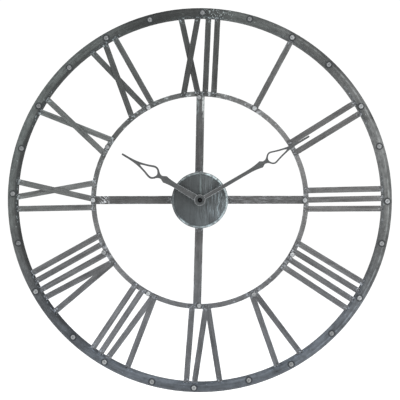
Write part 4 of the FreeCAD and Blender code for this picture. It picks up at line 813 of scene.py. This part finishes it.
# ============================================================= weld beads
def blob_chain(bm, pts, radius, squash_y=0.8, seed=0.0, ripple=0.16, seg=10):
    """Run of weld metal: a lumpy tube with rounded ends through the points."""
    path = []
    for i in range(len(pts) - 1):
        a, b = pts[i], pts[i + 1]
        n = max(2, int((b - a).length / (radius * 0.45)))
        for k in range(n):
            path.append(a.lerp(b, k / n))
    path.append(pts[-1])
    total = len(path)
    rings = []
    for i, c in enumerate(path):
        f = path[min(i + 1, total - 1)] - path[max(i - 1, 0)]
        if f.length < 1e-9:
            f = Vector((1, 0, 0))
        f.normalize()
        up = Vector((0, -1, 0))
        side = f.cross(up)
        side = side.normalized() if side.length > 1e-6 else Vector((1, 0, 0))
        up = side.cross(f).normalized()
        edge = min(i, total - 1 - i) / max(1.0, (radius * 2.0) / max(1e-9, (path[1] - path[0]).length if total > 1 else 1))
        taper = math.sqrt(max(0.05, 1 - (1 - min(1.0, edge)) ** 2))
        w = 1.0 + ripple * math.sin(i * 1.9 + seed) + 0.22 * mnoise.noise(c * 900.0 + Vector((seed, 0, 0)))
        rr = radius * taper * w
        ring = []
        for s in range(seg):
            a = 2 * math.pi * s / seg
            q = c + side * (math.cos(a) * rr) + up * (math.sin(a) * rr * squash_y)
            q += (q - c) * 0.25 * mnoise.noise(q * 1500.0)
            ring.append(bm.verts.new(q))
        rings.append(ring)
    for i in range(len(rings) - 1):
        for s in range(seg):
            bm.faces.new((rings[i][s], rings[i][(s + 1) % seg],
                          rings[i + 1][(s + 1) % seg], rings[i + 1][s]))
    for ring, c, flip in ((rings[0], path[0], True), (rings[-1], path[-1], False)):
        f = bm.verts.new(c)
        for s in range(seg):
            q = (ring[(s + 1) % seg], ring[s], f) if flip else (ring[s], ring[(s + 1) % seg], f)
            bm.faces.new(q)


def crossing(o, d, centre, radius):
    """Distance along d from o at which the line leaves a circle."""
    v = Vector((o.x - centre.x, 0.0, o.z - centre.z))
    b = v.x * d.x + v.z * d.z
    q = b * b - (v.x ** 2 + v.z ** 2 - radius ** 2)
    return -b + math.sqrt(q) if q > 0 else -1.0


def build_welds():
    bm = bmesh.new()
    rnd = random.Random(5)
    centre = Vector((AX.x, 0, AX.z))
    seed = 0.0
    for name, bars in BARS.items():
        if name == "wall_hanger":
            # short tacks that hold the plate inside the ring, seen from behind
            lo, hi = [Vector(v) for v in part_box(name)]
            for sx in (-0.6, 0.0, 0.6):
                for sz in (0, 1):
                    xx = (lo.x + hi.x) / 2 + sx * (hi.x - lo.x) / 2
                    r = RING_MID - RING_TUBE + 0.0016 if sz == 0 else RING_OUT - 0.0016
                    zz = AX.z + math.sqrt(r * r - (xx - AX.x) ** 2)
                    blob_chain(bm, [Vector((xx - 0.0035, -0.0011, zz)), Vector((xx + 0.0035, -0.0011, zz))],
                               0.0009, 0.9, seed)
                    seed += 1.3
            continue
        spoke = name.startswith("spoke")
        for k, b in enumerate(bars):
            d, n = b["d"], b["n"]
            front = b["ymin"]
            if spoke:
                start = b["origin"]
                # against the hub's wall: a bead across the end, in two halves from the sides
                y = front + 0.0001
                for off in (-1, 1):
                    p0 = start + d * 0.0014 + n * (b["half"] * off * 0.95)
                    p1 = start + d * 0.0011 + n * (b["half"] * off * 0.12)
                    blob_chain(bm, [Vector((p0.x, y, p0.z)), Vector((p1.x, y, p1.z))],
                               0.00125 * rnd.uniform(0.85, 1.2), 0.7, seed)
                    seed += 1.7
                # beside the inner ring
                for off in (-1, 1):
                    a = INNER_OUT - 0.008 - (start - centre).dot(d) - 0.0002
                    p0 = start + d * a + n * (b["half"] * off * 0.9)
                    p1 = start + d * a + n * (b["half"] * off * 0.25)
                    blob_chain(bm, [Vector((p0.x, y, p0.z)), Vector((p1.x, y, p1.z))],
                               0.0011 * rnd.uniform(0.8, 1.2), 0.75, seed)
                    seed += 1.1
                continue
            y_flat = INNER_FRONT - 0.002          # front face of an unlifted bar
            end = b["origin"] + d * b["len"]
            # outer end, on the slope of the ring
            p0 = end - d * 0.0008 + n * (b["half"] * 0.86)
            p1 = end - d * 0.0008 - n * (b["half"] * 0.86)
            y = y_flat + 0.0001
            pts = []
            for s in (0.0, 0.5, 1.0):
                q = p0.lerp(p1, s)
                v = q - centre
                v.y = 0
                q = centre + v.normalized() * (RING_MID - math.sqrt(max(1e-9, RING_TUBE ** 2 - y_flat ** 2)) - 0.0002)
                pts.append(Vector((q.x, y - 0.0001, q.z)))
            if rnd.random() < 0.8:
                blob_chain(bm, pts, 0.00105 * rnd.uniform(0.85, 1.25), 0.62, seed)
            else:
                blob_chain(bm, [pts[0], pts[0].lerp(pts[1], 0.8)], 0.0012, 0.62, seed)
                blob_chain(bm, [pts[2], pts[2].lerp(pts[1], 0.8)], 0.0012, 0.62, seed + 2)
            seed += 2.3
            # down both sides where the bar lies on the inner ring
            for off in (-1, 1):
                side = b["origin"] + n * (b["half"] * off * 1.02)
                a0 = max(0.0005, crossing(side, d, centre, INNER_OUT - 0.0082))
                a1 = crossing(side, d, centre, INNER_OUT - 0.0012)
                p0, p1 = side + d * a0, side + d * a1
                y2 = INNER_FRONT - 0.0002
                if rnd.random() < 0.72 and a1 - a0 > 0.0015:
                    blob_chain(bm, [Vector((p0.x, y2, p0.z)), Vector((p1.x, y2, p1.z))],
                               0.00085 * rnd.uniform(0.8, 1.3), 0.9, seed)
                seed += 0.9
    me = bpy.data.meshes.new("weld_beads")
    bm.normal_update()
    bm.to_mesh(me)
    bm.free()
    for p in me.polygons:
        p.use_smooth = True
    ob = bpy.data.objects.new("weld_beads", me)
    SC.collection.objects.link(ob)
    me.materials.append(M_WELD)
    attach(ob, "frame")
    return ob


build_welds()

# ================================================================= stage
def make_floor():
    me = bpy.data.meshes.new("studio_floor")
    bm = bmesh.new()
    lo = CAD_BOX[0]
    z = lo[2] - 0.09
    bmesh.ops.create_circle(bm, cap_ends=True, segments=96, radius=6.0)
    bm.to_mesh(me)
    bm.free()
    ob = bpy.data.objects.new("studio_floor", me)
    ob.location = (AX.x, 0, z)
    SC.collection.objects.link(ob)
    m = bpy.data.materials.new("studio_floor_paint")
    m.use_nodes = True
    b = m.node_tree.nodes["Principled BSDF"]
    b.inputs["Base Color"].default_value = (0.93, 0.93, 0.93, 1)
    b.inputs["Roughness"].default_value = 0.9
    b.inputs["Emission Color"].default_value = (1, 1, 1, 1)
    b.inputs["Emission Strength"].default_value = 0.62
    me.materials.append(m)


make_floor()

world = bpy.data.worlds.new("studio")
SC.world = world
world.use_nodes = True
nt = world.node_tree
nt.nodes.clear()
wo = nt.nodes.new("ShaderNodeOutputWorld")
bg_cam = nt.nodes.new("ShaderNodeBackground")
bg_cam.inputs[0].default_value = (1, 1, 1, 1)
bg_cam.inputs[1].default_value = 1.05
bg = nt.nodes.new("ShaderNodeBackground")
lp = nt.nodes.new("ShaderNodeLightPath")
mx = nt.nodes.new("ShaderNodeMixShader")
tc = nt.nodes.new("ShaderNodeTexCoord")
sp = nt.nodes.new("ShaderNodeSeparateXYZ")
nt.links.new(tc.outputs["Generated"], sp.inputs[0])
mr = nt.nodes.new("ShaderNodeMapRange")
nt.links.new(sp.outputs[2], mr.inputs[0])
for s, v in zip(mr.inputs[1:5], (-1.0, 1.0, 0.34, 0.60)):
    s.default_value = v
nt.links.new(mr.outputs[0], bg.inputs[1])
bg.inputs[0].default_value = (0.97, 0.985, 1.0, 1)
nt.links.new(lp.outputs["Is Camera Ray"], mx.inputs[0])
nt.links.new(bg.outputs[0], mx.inputs[1])
nt.links.new(bg_cam.outputs[0], mx.inputs[2])
nt.links.new(mx.outputs[0], wo.inputs[0])


def softbox(name, loc, size, power, color=(1, 1, 1), target=None):
    ld = bpy.data.lights.new(name, "AREA")
    ld.shape = "RECTANGLE"
    ld.size, ld.size_y = size
    ld.energy = power
    ld.color = color
    ob = bpy.data.objects.new(name, ld)
    ob.location = loc
    tgt = target or Vector((AX.x, 0, AX.z))
    ob.rotation_euler = (tgt - Vector(loc)).to_track_quat("-Z", "Y").to_euler()
    SC.collection.objects.link(ob)
    ob.visible_camera = False
    return ob


softbox("light_right", (AX.x + 1.7, -1.5, AX.z + 0.25), (0.9, 1.8), 24, (1.0, 0.99, 0.98))
softbox("light_left", (AX.x - 1.7, -1.4, AX.z + 0.1), (0.8, 1.6), 18, (0.97, 0.99, 1.0))
softbox("light_top", (AX.x + 0.1, -1.0, AX.z + 1.6), (1.6, 0.7), 18)

# ================================================================= camera
cam_d = bpy.data.cameras.new("camera")
cam = bpy.data.objects.new("camera", cam_d)
SC.collection.objects.link(cam)
cam_d.sensor_width = 36.0
cam_d.lens = 150.0
WIDE = RING_OUT * 2 / (384.15 / 400.0)         # width of the view in the wall plane
dist = WIDE * cam_d.lens / cam_d.sensor_width
px = WIDE / 400.0
cam.location = (AX.x + 0.13 * px, -dist, AX.z + 0.16 * px)
cam.rotation_euler = (math.pi / 2, 0, 0)
cam_d.clip_end = 50
SC.camera = cam
SC.view_settings.view_transform = "Standard"
SC.view_settings.look = "None"
